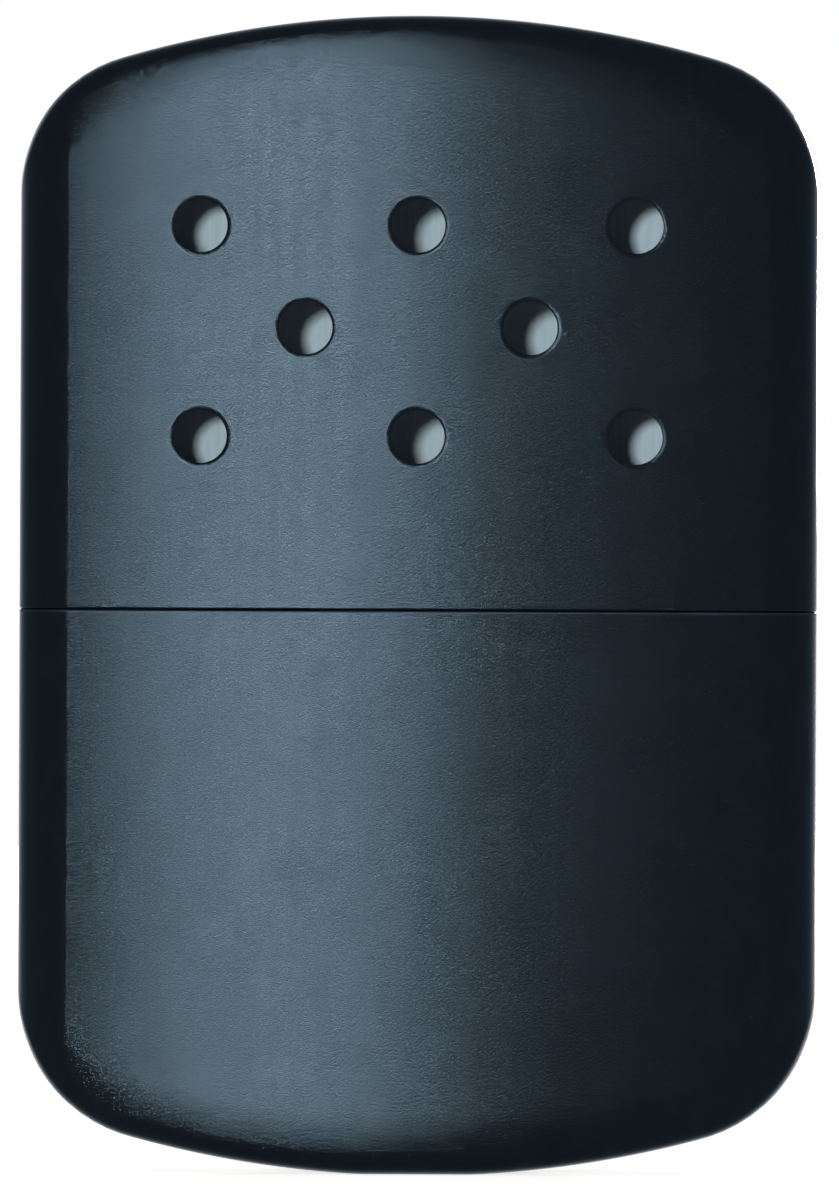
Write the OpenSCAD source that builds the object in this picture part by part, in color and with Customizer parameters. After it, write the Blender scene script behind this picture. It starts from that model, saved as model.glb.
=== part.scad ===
// Catalytic hand warmer: a flat steel case in two halves. The lower half is a fuel tank packed with
// cotton. A catalyst burner plugs onto its filler neck, and the vented upper half slides over both.
// Millimetres. +Z points up to the lid, -Y is the front with the vents, and the origin is the middle
// of the flat foot that the case stands on.

/* [Case] */
// Width of the case, side to side
case_w = 68.4; // [62:0.1:80]
// Thickness of the case, front to back
case_t = 15; // [13.5:0.1:20]
// Height of the closed case
case_h = 99; // [92:0.5:125]
// Radius of the rounded sides, seen from above
side_r = 5.2; // [4.4:0.1:6]
// Thickness of the sheet metal of both shells
case_wall = 0.45; // [0.3:0.05:0.7]
// Height of the parting line between lid and tank
seam_z = 48.2; // [44:0.1:54]
// Gap between the two rims at the parting line
seam_gap = 0.1; // [0.05:0.05:0.3]

/* [Rounded ends] */
// Radius of the lid's shoulders, seen from the front
lid_shoulder_r = 12; // [9:0.5:15]
// Radius of the tank's shoulders, seen from the front
tank_shoulder_r = 13; // [9:0.5:15]
// Radius of the arch over the lid
lid_arch_r = 92; // [70:1:150]
// Height of the lid's rounded front and back edges
lid_edge_h = 1.7; // [1.4:0.1:3]
// Depth of the lid's rounded front and back edges
lid_edge_d = 2.2; // [1.6:0.1:4]
// Radius of the arch under the tank
tank_arch_r = 95; // [70:1:150]
// Height of the tank's rounded front and back edges
tank_edge_h = 2.3; // [1.6:0.1:4]
// Depth of the tank's rounded front and back edges
tank_edge_d = 2.6; // [1.6:0.1:4]
// Height over which the faces lean in before a rounded edge
lean_h = 4; // [2:0.5:6]
// How far the faces lean in over that height
lean_d = 0.2; // [0.1:0.05:0.3]
// Width of the flat foot under the tank
foot_w = 10; // [6:0.5:16]

/* [Vents] */
// Diameter of a vent hole
vent_d = 4.6; // [3:0.1:6]
// Distance between the vents of the upper and lower rows
vent_pitch = 18.6; // [14:0.1:20]
// Distance between the two vents of the middle row
vent_mid_pitch = 19.2; // [14:0.1:24]
// Height of the upper row of vents
vent_top_z = 81; // [79:0.1:82]
// Height of the middle row of vents
vent_mid_z = 72.3; // [71:0.1:73]
// Height of the lower row of vents
vent_low_z = 63; // [61:0.1:64]

/* [Collar and deck] */
// Sliding gap between the collar and the lid
lid_clearance = 0.1; // [0.06:0.01:0.14]
// Thickness of the collar's sheet metal
collar_wall = 0.45; // [0.3:0.05:0.6]
// Reach of the collar down into the tank
collar_drop = 8.2; // [6:0.1:12]
// Height of the collar above the parting line
collar_rise = 5.6; // [4.6:0.1:6.4]
// Height of a grip pip pressed out of the collar
pip_h = 0.07; // [0.04:0.01:0.09]
// Radius of the ball that presses a grip pip
pip_r = 4; // [2:0.5:6]
// Distance of the grip pips from the middle
pip_x = 20; // [16:0.5:24]
// Gap that the solder fills between soldered pieces
solder_gap = 0.05; // [0.03:0.01:0.08]
// Thickness of the deck over the tank
deck_thickness = 0.5; // [0.4:0.05:0.8]
// Depth of the deck's top below the parting line
deck_drop = 2.4; // [1.5:0.1:3.4]
// Height of the deck's downturned rim
deck_rim_h = 4; // [2:0.1:5]

/* [Filler neck] */
// Length of the filler neck, side to side
neck_l = 20; // [16:0.1:24]
// Thickness of the filler neck, front to back
neck_t = 6.6; // [6:0.1:7]
// Wall of the filler neck
neck_wall = 0.5; // [0.3:0.05:0.6]
// Height of the neck above the deck
neck_h = 3.8; // [3.2:0.1:4.1]
// Reach of the neck below the deck
neck_tail = 2; // [1:0.1:2.5]
// Width of the neck's flange
flange_w = 1.2; // [0.8:0.1:1.6]
// Thickness of the neck's flange
flange_thickness = 0.5; // [0.3:0.05:0.8]

/* [Cotton] */
// Gap between the cotton and what is round it
cotton_gap = 0.3; // [0.2:0.05:0.5]
// Straight stretch of the lowest pad of cotton, above the tank's rounded end
low_pad_straight = 1; // [0.5:0.1:4]
// Reach of the tuft of cotton down into the upper pad
tuft_drop = 5; // [3:0.1:6]
// Height of the tuft above the deck's underside
tuft_rise = 1; // [0.6:0.1:1.4]

/* [Burner] */
// Running gap between the burner's skirt and the neck
skirt_clearance = 0.08; // [0.05:0.01:0.1]
// Wall of the skirt
skirt_wall = 0.4; // [0.3:0.05:0.5]
// Height of the skirt
skirt_h = 6; // [5.8:0.1:6.6]
// Width of the slits that let the skirt spring
slit_w = 0.5; // [0.3:0.05:0.8]
// Height of the slits
slit_h = 3.2; // [2:0.1:3.4]
// Wall of the hood
hood_wall = 0.45; // [0.3:0.05:0.5]
// Lap of the hood down over the skirt
hood_lap = 3.6; // [3.2:0.1:4]
// Height of the hood
hood_h = 11.2; // [11:0.1:11.6]
// Fitting gap between the pieces of the burner
burner_fit = 0.05; // [0.03:0.01:0.08]
// Width of the hood's windows
window_w = 13.2; // [10:0.1:13.4]
// Height of the hood's windows
window_h = 4.6; // [3.6:0.1:4.8]
// Corner radius of the windows
window_r = 0.8; // [0.4:0.1:1.2]
// Width of a bar across a window
bar_w = 1; // [0.6:0.1:1.4]
// Thickness of the cap and of the vapour plate
plate_thickness = 0.4; // [0.3:0.05:0.5]
// Height of the cap's rim
cap_rim_h = 0.8; // [0.6:0.1:1]
// Width of a slot in the cap
cap_slot_w = 2; // [1.2:0.1:2.4]
// Length of a slot in the cap
cap_slot_l = 4.4; // [3:0.1:5]
// Diameter of a hole in the vapour plate
vapour_hole_d = 1.4; // [0.8:0.1:1.6]
// Distance between the holes of the vapour plate
vapour_pitch = 2.6; // [2.4:0.1:2.8]
// Shank diameter of the burner's rivets
rivet_d = 0.8; // [0.6:0.1:1]
// Head diameter of the burner's rivets
rivet_head_d = 1.5; // [1.3:0.1:1.7]
// Height of a rivet's head
rivet_head_h = 0.3; // [0.2:0.05:0.35]
// Distance between the rivets
rivet_pitch = 13; // [11:0.5:14]

/* [Catalyst] */
// Length of the catalyst mat, side to side
mat_l = 16.8; // [14:0.1:17.4]
// Thickness of the catalyst mat
mat_thickness = 1.5; // [1:0.1:1.7]
// Height of the folded mat
mat_h = 6.5; // [6:0.1:6.7]
// Gap between the mat and what is round it
mat_gap = 0.15; // [0.1:0.05:0.2]
// Thickness of the carrier inside the fold
carrier_thickness = 0.3; // [0.2:0.05:0.4]
// Diameter of a hole in the carrier
carrier_hole_d = 1.6; // [1:0.1:2]
// Lap of the gauze behind the window's edge, all round
gauze_lap = 0.5; // [0.3:0.1:0.6]
// Distance between the wires of the gauze
gauze_pitch = 1.1; // [1:0.05:1.6]
// Thickness of the gauze's wires
gauze_wire = 0.3; // [0.2:0.05:0.35]

/* [Hidden] */
$fn = 48;
eps = 0.01;

// The case seen from above is an oval of four arcs: two small ones at the sides and two wide faces.
half_w = case_w / 2;
half_t = case_t / 2;
side_x = half_w - side_r;
face_rise = half_t - side_r;
face_depth = (side_x * side_x - face_rise * face_rise) / (2 * face_rise);
face_r = face_depth + half_t;
join_a = atan2(face_depth, side_x);
side_steps = 8;
face_steps = 12;
edge_steps = 4;
lean_steps = 2;
// Largest share of the local half thickness that a rounded edge may take
edge_share = 0.85;

// Insets of the layers inside the case's outline
tank_inset = case_wall;
collar_inset = case_wall + lid_clearance;
deck_inset = collar_inset + collar_wall + solder_gap;
cotton_inset = deck_inset + deck_thickness + cotton_gap;

// Heights, from the foot up
collar_low_z = seam_z - collar_drop;
collar_top_z = seam_z + collar_rise;
deck_z = seam_z - deck_drop;
flange_z = deck_z + flange_thickness;
skirt_top_z = flange_z + skirt_h;
hood_low_z = skirt_top_z - hood_lap;
hood_top_z = hood_low_z + hood_h;
mat_z = skirt_top_z + plate_thickness;
tuft_low_z = deck_z - deck_thickness - tuft_drop;
tuft_top_z = deck_z - deck_thickness + tuft_rise;
cotton_top_z = deck_z - deck_thickness - neck_tail - cotton_gap;
low_pad_top_z = shoulder_depth(tank_arch_r, tank_shoulder_r) + tank_edge_h + lean_h + low_pad_straight;
upper_pad_h = (cotton_top_z - low_pad_top_z) / 2 - cotton_gap;

// Outlines of the burner's pieces, each round the one before
skirt_out = skirt_clearance + skirt_wall;
hood_in = skirt_out + burner_fit;
hood_out = hood_in + hood_wall;
hood_half_t = neck_t / 2 + hood_in;
gauze_y = hood_half_t - mat_gap;
mat_half_t = gauze_y - gauze_wire - mat_gap;
carrier_half_t = mat_half_t - mat_thickness - mat_gap;
rivet_z = skirt_top_z - rivet_head_d;
window_z = mat_z + (hood_top_z - plate_thickness - mat_z - window_h) / 2;

// Half of the oval as angles: 0 is the right side, 90 the middle of a face, 180 the left side
quarter_angles = concat(
    [for (i = [0 : side_steps - 1]) join_a * i / side_steps],
    [for (i = [0 : face_steps]) join_a + (90 - join_a) * i / face_steps]
);
half_angles = concat(
    quarter_angles,
    [for (i = [len(quarter_angles) - 2 : -1 : 0]) 180 - quarter_angles[i]]
);

// A point of the oval at an angle, moved in from the outline by an inset
function quarter_x(a, inset) =
    a < join_a ? side_x + (side_r - inset) * cos(a) : (face_r - inset) * cos(a);
function quarter_y(a, inset) =
    a < join_a ? (side_r - inset) * sin(a) : (face_r - inset) * sin(a) - face_depth;
function oval_x(a, inset) = a <= 90 ? quarter_x(a, inset) : -quarter_x(180 - a, inset);
function oval_y(a, inset) = a <= 90 ? quarter_y(a, inset) : quarter_y(180 - a, inset);

function oval_points(inset) = concat(
    [for (a = half_angles) [oval_x(a, inset), oval_y(a, inset)]],
    [for (i = [len(half_angles) - 2 : -1 : 1])
        [oval_x(half_angles[i], inset), -oval_y(half_angles[i], inset)]]
);

module oval_tube(outer_inset, inner_inset, height) {
    linear_extrude(height) difference() {
        polygon(oval_points(outer_inset));
        polygon(oval_points(inner_inset));
    }
}

// Depth of a shoulder's centre below the top of an arch
function shoulder_depth(arch_r, shoulder_r) =
    arch_r - sqrt(pow(arch_r - shoulder_r, 2) - pow(half_w - shoulder_r, 2));

// Height of a cup's arched end above its rim, at a distance x from the middle. The arch is a wide
// arc with two shoulders, cut flat where a foot is asked for.
function arch_height(x, inset, cup_h, arch_r, shoulder_r, flat_w) =
    let (
        shoulder_x = half_w - shoulder_r,
        apex = cup_h + arch_r - sqrt(arch_r * arch_r - flat_w * flat_w / 4),
        meet_x = shoulder_x * (arch_r - inset) / (arch_r - shoulder_r),
        out = abs(x),
        along = pow(shoulder_r - inset, 2) - pow(out - shoulder_x, 2)
    )
    min(
        cup_h - inset,
        out < meet_x
            ? apex - arch_r + sqrt(pow(arch_r - inset, 2) - out * out)
            : apex - shoulder_depth(arch_r, shoulder_r) + sqrt(max(0, along))
    );

// One hoop of a cup: up the front wall, round its edge, over the end and down the back wall. The
// wall is straight, leans in a little before the edge, and meets the edge at the same slope.
function hoop(a, inset, cup_h, arch_r, shoulder_r, edge_h, edge_d, flat_w) =
    let (
        x = oval_x(a, inset),
        y = oval_y(a, inset),
        top = arch_height(x, inset, cup_h, arch_r, shoulder_r, flat_w),
        high = edge_h - inset,
        deep = min(edge_d - inset, edge_share * y),
        lean = lean_d * y / half_t,
        first_b = atan2(2 * lean * high, lean_h * deep),
        lean_z = top - high * (1 - sin(first_b)),
        side = concat(
            [[y, 0]],
            [for (i = [0 : lean_steps - 1])
                let (share = i / lean_steps) [y - lean * share * share, lean_z - lean_h * (1 - share)]],
            [for (i = [0 : edge_steps])
                let (b = first_b + (90 - first_b) * i / edge_steps)
                [y - lean - deep * (cos(first_b) - cos(b)), top - high * (1 - sin(b))]]
        )
    )
    concat(
        [for (p = side) [x, -p[0], p[1]]],
        [for (i = [len(side) - 1 : -1 : 0]) [x, side[i][0], side[i][1]]]
    );

// A skin is a run of hoops from the right side to the left. The first and last hoops have no
// thickness, so their front and back share points.
hoop_side = lean_steps + edge_steps + 2;
hoop_size = 2 * hoop_side;
last_hoop = len(half_angles) - 1;
skin_size = 2 * hoop_side + (last_hoop - 1) * hoop_size;

function skin_points(inset, cup_h, arch_r, shoulder_r, edge_h, edge_d, flat_w) = [
    for (h = [0 : last_hoop])
        let (
            points = hoop(half_angles[h], inset, cup_h, arch_r, shoulder_r, edge_h, edge_d, flat_w),
            count = h == 0 || h == last_hoop ? hoop_side : hoop_size
        )
        for (k = [0 : count - 1]) points[k]
];
function at(h, k) =
    h == 0 ? min(k, hoop_size - 1 - k)
    : h == last_hoop ? skin_size - hoop_side + min(k, hoop_size - 1 - k)
    : hoop_side + (h - 1) * hoop_size + k;
function two_triangles(a, b, c, d) =
    [for (t = [[a, b, c], [a, c, d]]) if (t[0] != t[1] && t[1] != t[2] && t[0] != t[2]) t];
function skin_faces(start, inward) = [
    for (h = [0 : last_hoop - 1], k = [0 : hoop_size - 2])
        let (a = start + at(h, k), b = start + at(h + 1, k),
             c = start + at(h + 1, k + 1), d = start + at(h, k + 1))
        for (t = inward ? two_triangles(d, c, b, a) : two_triangles(a, b, c, d)) t
];
// The flat rim between the outer and the inner skin, along the front and along the back
function rim_faces() = [
    for (h = [0 : last_hoop - 1], k = [0, hoop_size - 1])
        let (a = at(h, k), b = at(h + 1, k), c = skin_size + b, d = skin_size + a)
        for (t = k == 0 ? two_triangles(d, c, b, a) : two_triangles(a, b, c, d)) t
];
function mouth_faces() = [
    for (h = [0 : last_hoop - 1])
        for (t = two_triangles(at(h, hoop_size - 1), at(h + 1, hoop_size - 1), at(h + 1, 0), at(h, 0))) t
];

// A drawn cup with its rim at z = 0 and its arched end up
module cup(cup_h, arch_r, shoulder_r, edge_h, edge_d, flat_w) {
    polyhedron(
        concat(
            skin_points(0, cup_h, arch_r, shoulder_r, edge_h, edge_d, flat_w),
            skin_points(case_wall, cup_h, arch_r, shoulder_r, edge_h, edge_d, flat_w)
        ),
        concat(skin_faces(0, false), skin_faces(skin_size, true), rim_faces())
    );
}

// The same form as a solid that fits inside a cup, from its mouth to its end
module cup_filling(inset, cup_h, arch_r, shoulder_r, edge_h, edge_d, flat_w) {
    polyhedron(
        skin_points(inset, cup_h, arch_r, shoulder_r, edge_h, edge_d, flat_w),
        concat(skin_faces(0, false), mouth_faces())
    );
}

// An outline with round ends, grown by an amount from the filler neck's outline
module neck_outline(grow) {
    square([neck_l - neck_t, neck_t + 2 * grow], center = true);
    for (s = [-1, 1])
        translate([s * (neck_l - neck_t) / 2, 0]) circle(neck_t / 2 + grow);
}

module neck_tube(outer_grow, inner_grow, height) {
    linear_extrude(height) difference() {
        neck_outline(outer_grow);
        neck_outline(inner_grow);
    }
}

module vent(x, z) {
    translate([x, 0, z]) rotate([90, 0, 0]) cylinder(h = case_t, d = vent_d);
}

module lid_shell() {
    rim_z = seam_z + seam_gap / 2;
    color("#2b3a47") difference() {
        translate([0, 0, rim_z])
            cup(case_h - rim_z, lid_arch_r, lid_shoulder_r, lid_edge_h, lid_edge_d, 0);
        for (i = [-1, 0, 1], z = [vent_top_z, vent_low_z]) vent(i * vent_pitch, z);
        for (s = [-1, 1]) vent(s * vent_mid_pitch / 2, vent_mid_z);
    }
}

module tank_shell() {
    rim_z = seam_z - seam_gap / 2;
    color("#2b3a47") translate([0, 0, rim_z]) mirror([0, 0, 1])
        cup(rim_z, tank_arch_r, tank_shoulder_r, tank_edge_h, tank_edge_d, foot_w);
}

// A grip pip is the cap of a ball that stands out of the collar's face by the pip's height
module grip_pip(x, face) {
    surface_y = quarter_y(acos(x / (face_r - collar_inset)), collar_inset);
    intersection() {
        translate([x, face * (surface_y - pip_r + pip_h), seam_z + collar_rise / 2]) sphere(pip_r);
        translate([x - pip_r, face > 0 ? surface_y - collar_wall / 2 : -surface_y - pip_h, seam_z])
            cube([2 * pip_r, pip_h + collar_wall / 2, collar_rise]);
    }
}

module tank_collar() {
    color("#c9ccd0") {
        translate([0, 0, collar_low_z])
            oval_tube(collar_inset, collar_inset + collar_wall, collar_top_z - collar_low_z);
        for (x = [-pip_x, pip_x], face = [-1, 1]) grip_pip(x, face);
    }
}

module tank_deck() {
    color("#c9ccd0") difference() {
        translate([0, 0, deck_z - deck_thickness - deck_rim_h])
            linear_extrude(deck_rim_h + deck_thickness) polygon(oval_points(deck_inset));
        translate([0, 0, deck_z - deck_thickness - deck_rim_h - eps])
            linear_extrude(deck_rim_h + eps) polygon(oval_points(deck_inset + deck_thickness));
        translate([0, 0, deck_z - 2 * deck_thickness])
            linear_extrude(3 * deck_thickness) neck_outline(solder_gap);
    }
}

module filler_neck() {
    color("#c9ccd0") {
        translate([0, 0, deck_z - deck_thickness - neck_tail])
            neck_tube(0, -neck_wall, neck_tail + deck_thickness + neck_h);
        translate([0, 0, deck_z])
            neck_tube(flange_w, -neck_wall, flange_thickness);
    }
}

module cotton_bottom() {
    color("#ece8dc") translate([0, 0, low_pad_top_z]) mirror([0, 0, 1])
        cup_filling(case_wall + cotton_gap, low_pad_top_z,
                    tank_arch_r, tank_shoulder_r, tank_edge_h, tank_edge_d, foot_w);
}

module cotton_middle() {
    color("#ece8dc") translate([0, 0, low_pad_top_z + cotton_gap])
        linear_extrude(upper_pad_h) polygon(oval_points(cotton_inset));
}

module cotton_top() {
    color("#ece8dc") difference() {
        translate([0, 0, cotton_top_z - upper_pad_h])
            linear_extrude(upper_pad_h) polygon(oval_points(cotton_inset));
        translate([0, 0, tuft_low_z - cotton_gap])
            linear_extrude(tuft_drop + deck_thickness) neck_outline(-neck_wall);
    }
}

module cotton_tuft() {
    color("#ece8dc") translate([0, 0, tuft_low_z])
        linear_extrude(tuft_top_z - tuft_low_z) neck_outline(-neck_wall - cotton_gap);
}

// The skirt springs onto the neck: slits near its four corners leave two leaves and two ends
module burner_skirt() {
    color("#b9bcc0") difference() {
        translate([0, 0, flange_z]) neck_tube(skirt_out, skirt_clearance, skirt_h);
        for (s = [-1, 1])
            translate([s * (neck_l - neck_t) / 2 - slit_w / 2, -neck_t, flange_z - eps])
                cube([slit_w, 2 * neck_t, slit_h + eps]);
        rivet_holes();
    }
}

module rivet_holes() {
    for (s = [-1, 1])
        translate([s * rivet_pitch / 2, neck_t, rivet_z]) rotate([90, 0, 0])
            cylinder(h = 2 * neck_t, d = rivet_d + 2 * burner_fit);
}

module window_outline() {
    straight_w = window_w - 2 * window_r;
    straight_h = window_h - 2 * window_r;
    square([straight_w, window_h], center = true);
    square([window_w, straight_h], center = true);
    for (sx = [-1, 1], sz = [-1, 1])
        translate([sx * straight_w / 2, sz * straight_h / 2]) circle(window_r);
}

// Two bars split each window in three equal panes
module burner_hood() {
    pane_w = (window_w - 2 * bar_w) / 3;
    color("#b9bcc0") difference() {
        translate([0, 0, hood_low_z]) neck_tube(hood_out, hood_in, hood_h);
        translate([0, hood_half_t + 2 * hood_wall, window_z + window_h / 2]) rotate([90, 0, 0])
            linear_extrude(2 * hood_half_t + 4 * hood_wall) difference() {
                window_outline();
                for (s = [-1, 1])
                    translate([s * (pane_w + bar_w) / 2, 0])
                        square([bar_w, window_h], center = true);
            }
        rivet_holes();
    }
}

// The cap is pressed into the top of the hood, with a rim turned down and three slots
module burner_cap() {
    cap_grow = hood_in - burner_fit;
    slot_pitch = cap_slot_l + cap_slot_w;
    color("#b9bcc0") difference() {
        translate([0, 0, hood_top_z - cap_rim_h])
            linear_extrude(cap_rim_h) neck_outline(cap_grow);
        translate([0, 0, hood_top_z - cap_rim_h - eps])
            linear_extrude(cap_rim_h - plate_thickness + eps)
                neck_outline(cap_grow - plate_thickness);
        for (i = [-1, 0, 1])
            translate([i * slot_pitch, 0, hood_top_z - cap_rim_h]) linear_extrude(2 * cap_rim_h) {
                square([cap_slot_l - cap_slot_w, cap_slot_w], center = true);
                for (s = [-1, 1])
                    translate([s * (cap_slot_l - cap_slot_w) / 2, 0]) circle(d = cap_slot_w);
            }
    }
}

// A rivet clamps the hood to the skirt: a shank through both walls and a head on each side
module rivet() {
    grip = skirt_wall + burner_fit + hood_wall;
    inner_y = neck_t / 2 + skirt_clearance;
    translate([0, inner_y, 0]) rotate([-90, 0, 0]) {
        cylinder(h = grip, d = rivet_d);
        translate([0, 0, grip]) cylinder(h = rivet_head_h, d = rivet_head_d);
        translate([0, 0, -rivet_head_h]) cylinder(h = rivet_head_h, d = rivet_head_d);
    }
}

module burner_rivets() {
    color("#9a9da2") for (s = [-1, 1], turn = [0, 180])
        translate([s * rivet_pitch / 2, 0, rivet_z]) rotate([0, 0, turn]) rivet();
}

// A perforated plate on the skirt's top edge carries the catalyst and lets the vapour up to it
module vapour_plate() {
    columns = floor((neck_l - neck_t) / vapour_pitch / 2);
    color("#a7a9ac") translate([0, 0, skirt_top_z]) linear_extrude(plate_thickness) difference() {
        neck_outline(hood_in - burner_fit);
        for (i = [-columns : columns], s = [-1, 1])
            translate([i * vapour_pitch, s * vapour_pitch / 2]) circle(d = vapour_hole_d);
    }
}

// An arch-shaped strip, seen from the side: two legs and a round fold over them
module fold(half_thickness, thickness, height, length) {
    rotate([90, 0, 90]) translate([0, 0, -length / 2]) linear_extrude(length) difference() {
        fold_outline(half_thickness, height);
        translate([0, -eps]) fold_outline(half_thickness - thickness, height - thickness + eps);
    }
}

module fold_outline(half_thickness, height) {
    intersection() {
        translate([-half_thickness, 0]) square([2 * half_thickness, height]);
        union() {
            translate([-half_thickness, -height]) square([2 * half_thickness, 2 * height - half_thickness]);
            translate([0, height - half_thickness]) circle(half_thickness);
        }
    }
}

module catalyst_mat() {
    color("#8f8f8c") translate([0, 0, mat_z])
        fold(mat_half_t, mat_thickness, mat_h, mat_l);
}

module mat_carrier() {
    carrier_h = mat_h - mat_thickness - mat_gap;
    hole_pitch = 2 * carrier_hole_d;
    holes = floor((mat_l - carrier_hole_d) / hole_pitch / 2);
    color("#a7a9ac") difference() {
        translate([0, 0, mat_z]) fold(carrier_half_t, carrier_thickness, carrier_h, mat_l);
        for (i = [-holes : holes])
            translate([i * hole_pitch, carrier_half_t + eps, mat_z + (carrier_h - carrier_half_t) / 2])
                rotate([90, 0, 0]) cylinder(h = 2 * (carrier_half_t + eps), d = carrier_hole_d);
    }
}

// A flat net of square gaps behind a window, framed by its own selvedge
module gauze(y) {
    gauze_l = window_w + 2 * gauze_lap;
    gauze_h = window_h + 2 * gauze_lap;
    columns = floor((gauze_l - gauze_wire) / gauze_pitch);
    rows = floor((gauze_h - gauze_wire) / gauze_pitch);
    gap = gauze_pitch - gauze_wire;
    translate([0, y, window_z + window_h / 2]) rotate([90, 0, 0]) linear_extrude(gauze_wire) difference() {
        square([gauze_l, gauze_h], center = true);
        for (i = [0 : columns - 1], j = [0 : rows - 1])
            translate([(i - (columns - 1) / 2) * gauze_pitch, (j - (rows - 1) / 2) * gauze_pitch])
                square(gap, center = true);
    }
}

module gauze_front() {
    color("#77797c") gauze(-gauze_y + gauze_wire);
}

module gauze_back() {
    color("#77797c") gauze(gauze_y);
}

lid_shell();
tank_shell();
tank_collar();
tank_deck();
filler_neck();
cotton_bottom();
cotton_middle();
cotton_top();
cotton_tuft();
burner_skirt();
burner_hood();
burner_cap();
burner_rivets();
vapour_plate();
catalyst_mat();
mat_carrier();
gauze_front();
gauze_back();
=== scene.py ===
# %% [markdown]
# # Dressing a catalytic hand warmer
# The real object is a flat pocket case of drawn steel in two halves, coated a dark blue-grey. The
# lower half is a fuel tank packed with cotton. A small catalyst burner plugs onto its filler neck,
# and the vented upper half slides over both. The construction comes in as a fixed frame, one object
# for each piece, and this lesson gives each piece its finish or a finer mesh in the same place.

# %% Load the frame
import math
import random

import bmesh
import bpy
from mathutils import Matrix, Vector, noise
from mathutils.geometry import delaunay_2d_cdt


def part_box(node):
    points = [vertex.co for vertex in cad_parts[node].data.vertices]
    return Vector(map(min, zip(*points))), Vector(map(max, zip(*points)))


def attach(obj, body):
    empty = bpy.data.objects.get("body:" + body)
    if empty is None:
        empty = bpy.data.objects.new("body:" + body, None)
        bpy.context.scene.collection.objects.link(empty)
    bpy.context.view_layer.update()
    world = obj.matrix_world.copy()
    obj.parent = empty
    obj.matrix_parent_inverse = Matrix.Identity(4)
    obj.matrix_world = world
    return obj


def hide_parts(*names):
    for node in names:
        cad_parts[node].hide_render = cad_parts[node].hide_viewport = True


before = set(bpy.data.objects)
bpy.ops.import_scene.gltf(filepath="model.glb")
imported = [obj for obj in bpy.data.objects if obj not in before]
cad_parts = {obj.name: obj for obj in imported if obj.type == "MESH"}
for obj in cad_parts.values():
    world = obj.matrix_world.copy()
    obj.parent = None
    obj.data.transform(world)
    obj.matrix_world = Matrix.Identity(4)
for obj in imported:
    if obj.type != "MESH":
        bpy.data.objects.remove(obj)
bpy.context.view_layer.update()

# %% [markdown]
# ## Sizes
# Everything is worked out in millimetres, because that is how sheet metal is thought about, and is
# turned into metres only when a mesh is made. What the frame already knows, such as how wide the
# case is or how high the deck lies, is read from the boxes of its pieces, so the meshes made here
# always land on the real construction. Only the radii, which a box can't tell, are written down.

# %% Read the sizes from the frame
MM = 0.001


def box_mm(node):
    low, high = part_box(node)
    return low / MM, high / MM


lid_low, lid_high = box_mm("lid_shell")
tank_low, tank_high = box_mm("tank_shell")
collar_low, collar_high = box_mm("tank_collar")
deck_low, deck_high = box_mm("tank_deck")
neck_low, neck_high = box_mm("filler_neck")
skirt_low, skirt_high = box_mm("burner_skirt")
hood_low, hood_high = box_mm("burner_hood")
HALF_W = lid_high.x
HALF_T = lid_high.y
SIDE_R = 5.2        # rounded sides, seen from above
WALL = 0.45         # sheet metal of the shells
print(f"case {2 * HALF_W:.1f} x {2 * HALF_T:.1f} x {lid_high.z:.1f} mm, parting line {lid_low.z:.2f} mm")

# %% [markdown]
# ## The outline of the case, seen from above
# The real case is an oval of four arcs: two tight ones at the sides and two very wide ones for the
# faces. A circle scaled in one direction would be quicker, but its sides would be too sharp. With
# four true arcs, an inset of the outline is again four arcs round the same centres, so the inside
# of the metal, the collar and the deck all follow from the one formula.

# %% Four arcs and their insets
SIDE_X = HALF_W - SIDE_R
FACE_RISE = HALF_T - SIDE_R
FACE_DEPTH = (SIDE_X ** 2 - FACE_RISE ** 2) / (2 * FACE_RISE)
FACE_R = FACE_DEPTH + HALF_T
JOIN = math.atan2(FACE_DEPTH, SIDE_X)


def quarter(angle, inset):
    """A point of the first quarter of the oval, at the angle of its normal."""
    if angle < JOIN:
        radius = SIDE_R - inset
        return SIDE_X + radius * math.cos(angle), radius * math.sin(angle)
    radius = FACE_R - inset
    return radius * math.cos(angle), radius * math.sin(angle) - FACE_DEPTH


def oval(angle, inset):
    """A point of the front-to-back upper half: 0 is the right side, pi the left side."""
    if angle <= math.pi / 2:
        return quarter(angle, inset)
    x, y = quarter(math.pi - angle, inset)
    return -x, y


def half_angles(side_steps, face_steps):
    """Angles from the right side to the left, closer together round the tight sides."""
    side = [JOIN * i / side_steps for i in range(side_steps)]
    face = [JOIN + (math.pi / 2 - JOIN) * i / face_steps for i in range(face_steps + 1)]
    first = side + face
    return first + [math.pi - a for a in reversed(first[:-1])]


def oval_ring(inset, side_steps=16, face_steps=24):
    """The whole outline as a closed ring of points."""
    angles = half_angles(side_steps, face_steps)
    upper = [oval(a, inset) for a in angles]
    lower = [(x, -y) for x, y in reversed(upper[1:-1])]
    return upper + lower


print(f"face radius {FACE_R:.1f} mm, side radius {SIDE_R} mm, {len(oval_ring(0))} points a ring")

# %% [markdown]
# ## Turning points into pieces
# A few small helpers do nearly all the mesh work. One makes an object from points and faces. One
# joins a run of equal rings into a skin, which is how a bent strip of sheet metal is described: the
# same outline, grown or shrunk a little, at one height after another. Others draw arcs and rounded
# corners, because sheet metal never ends in a perfectly sharp edge.

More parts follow.
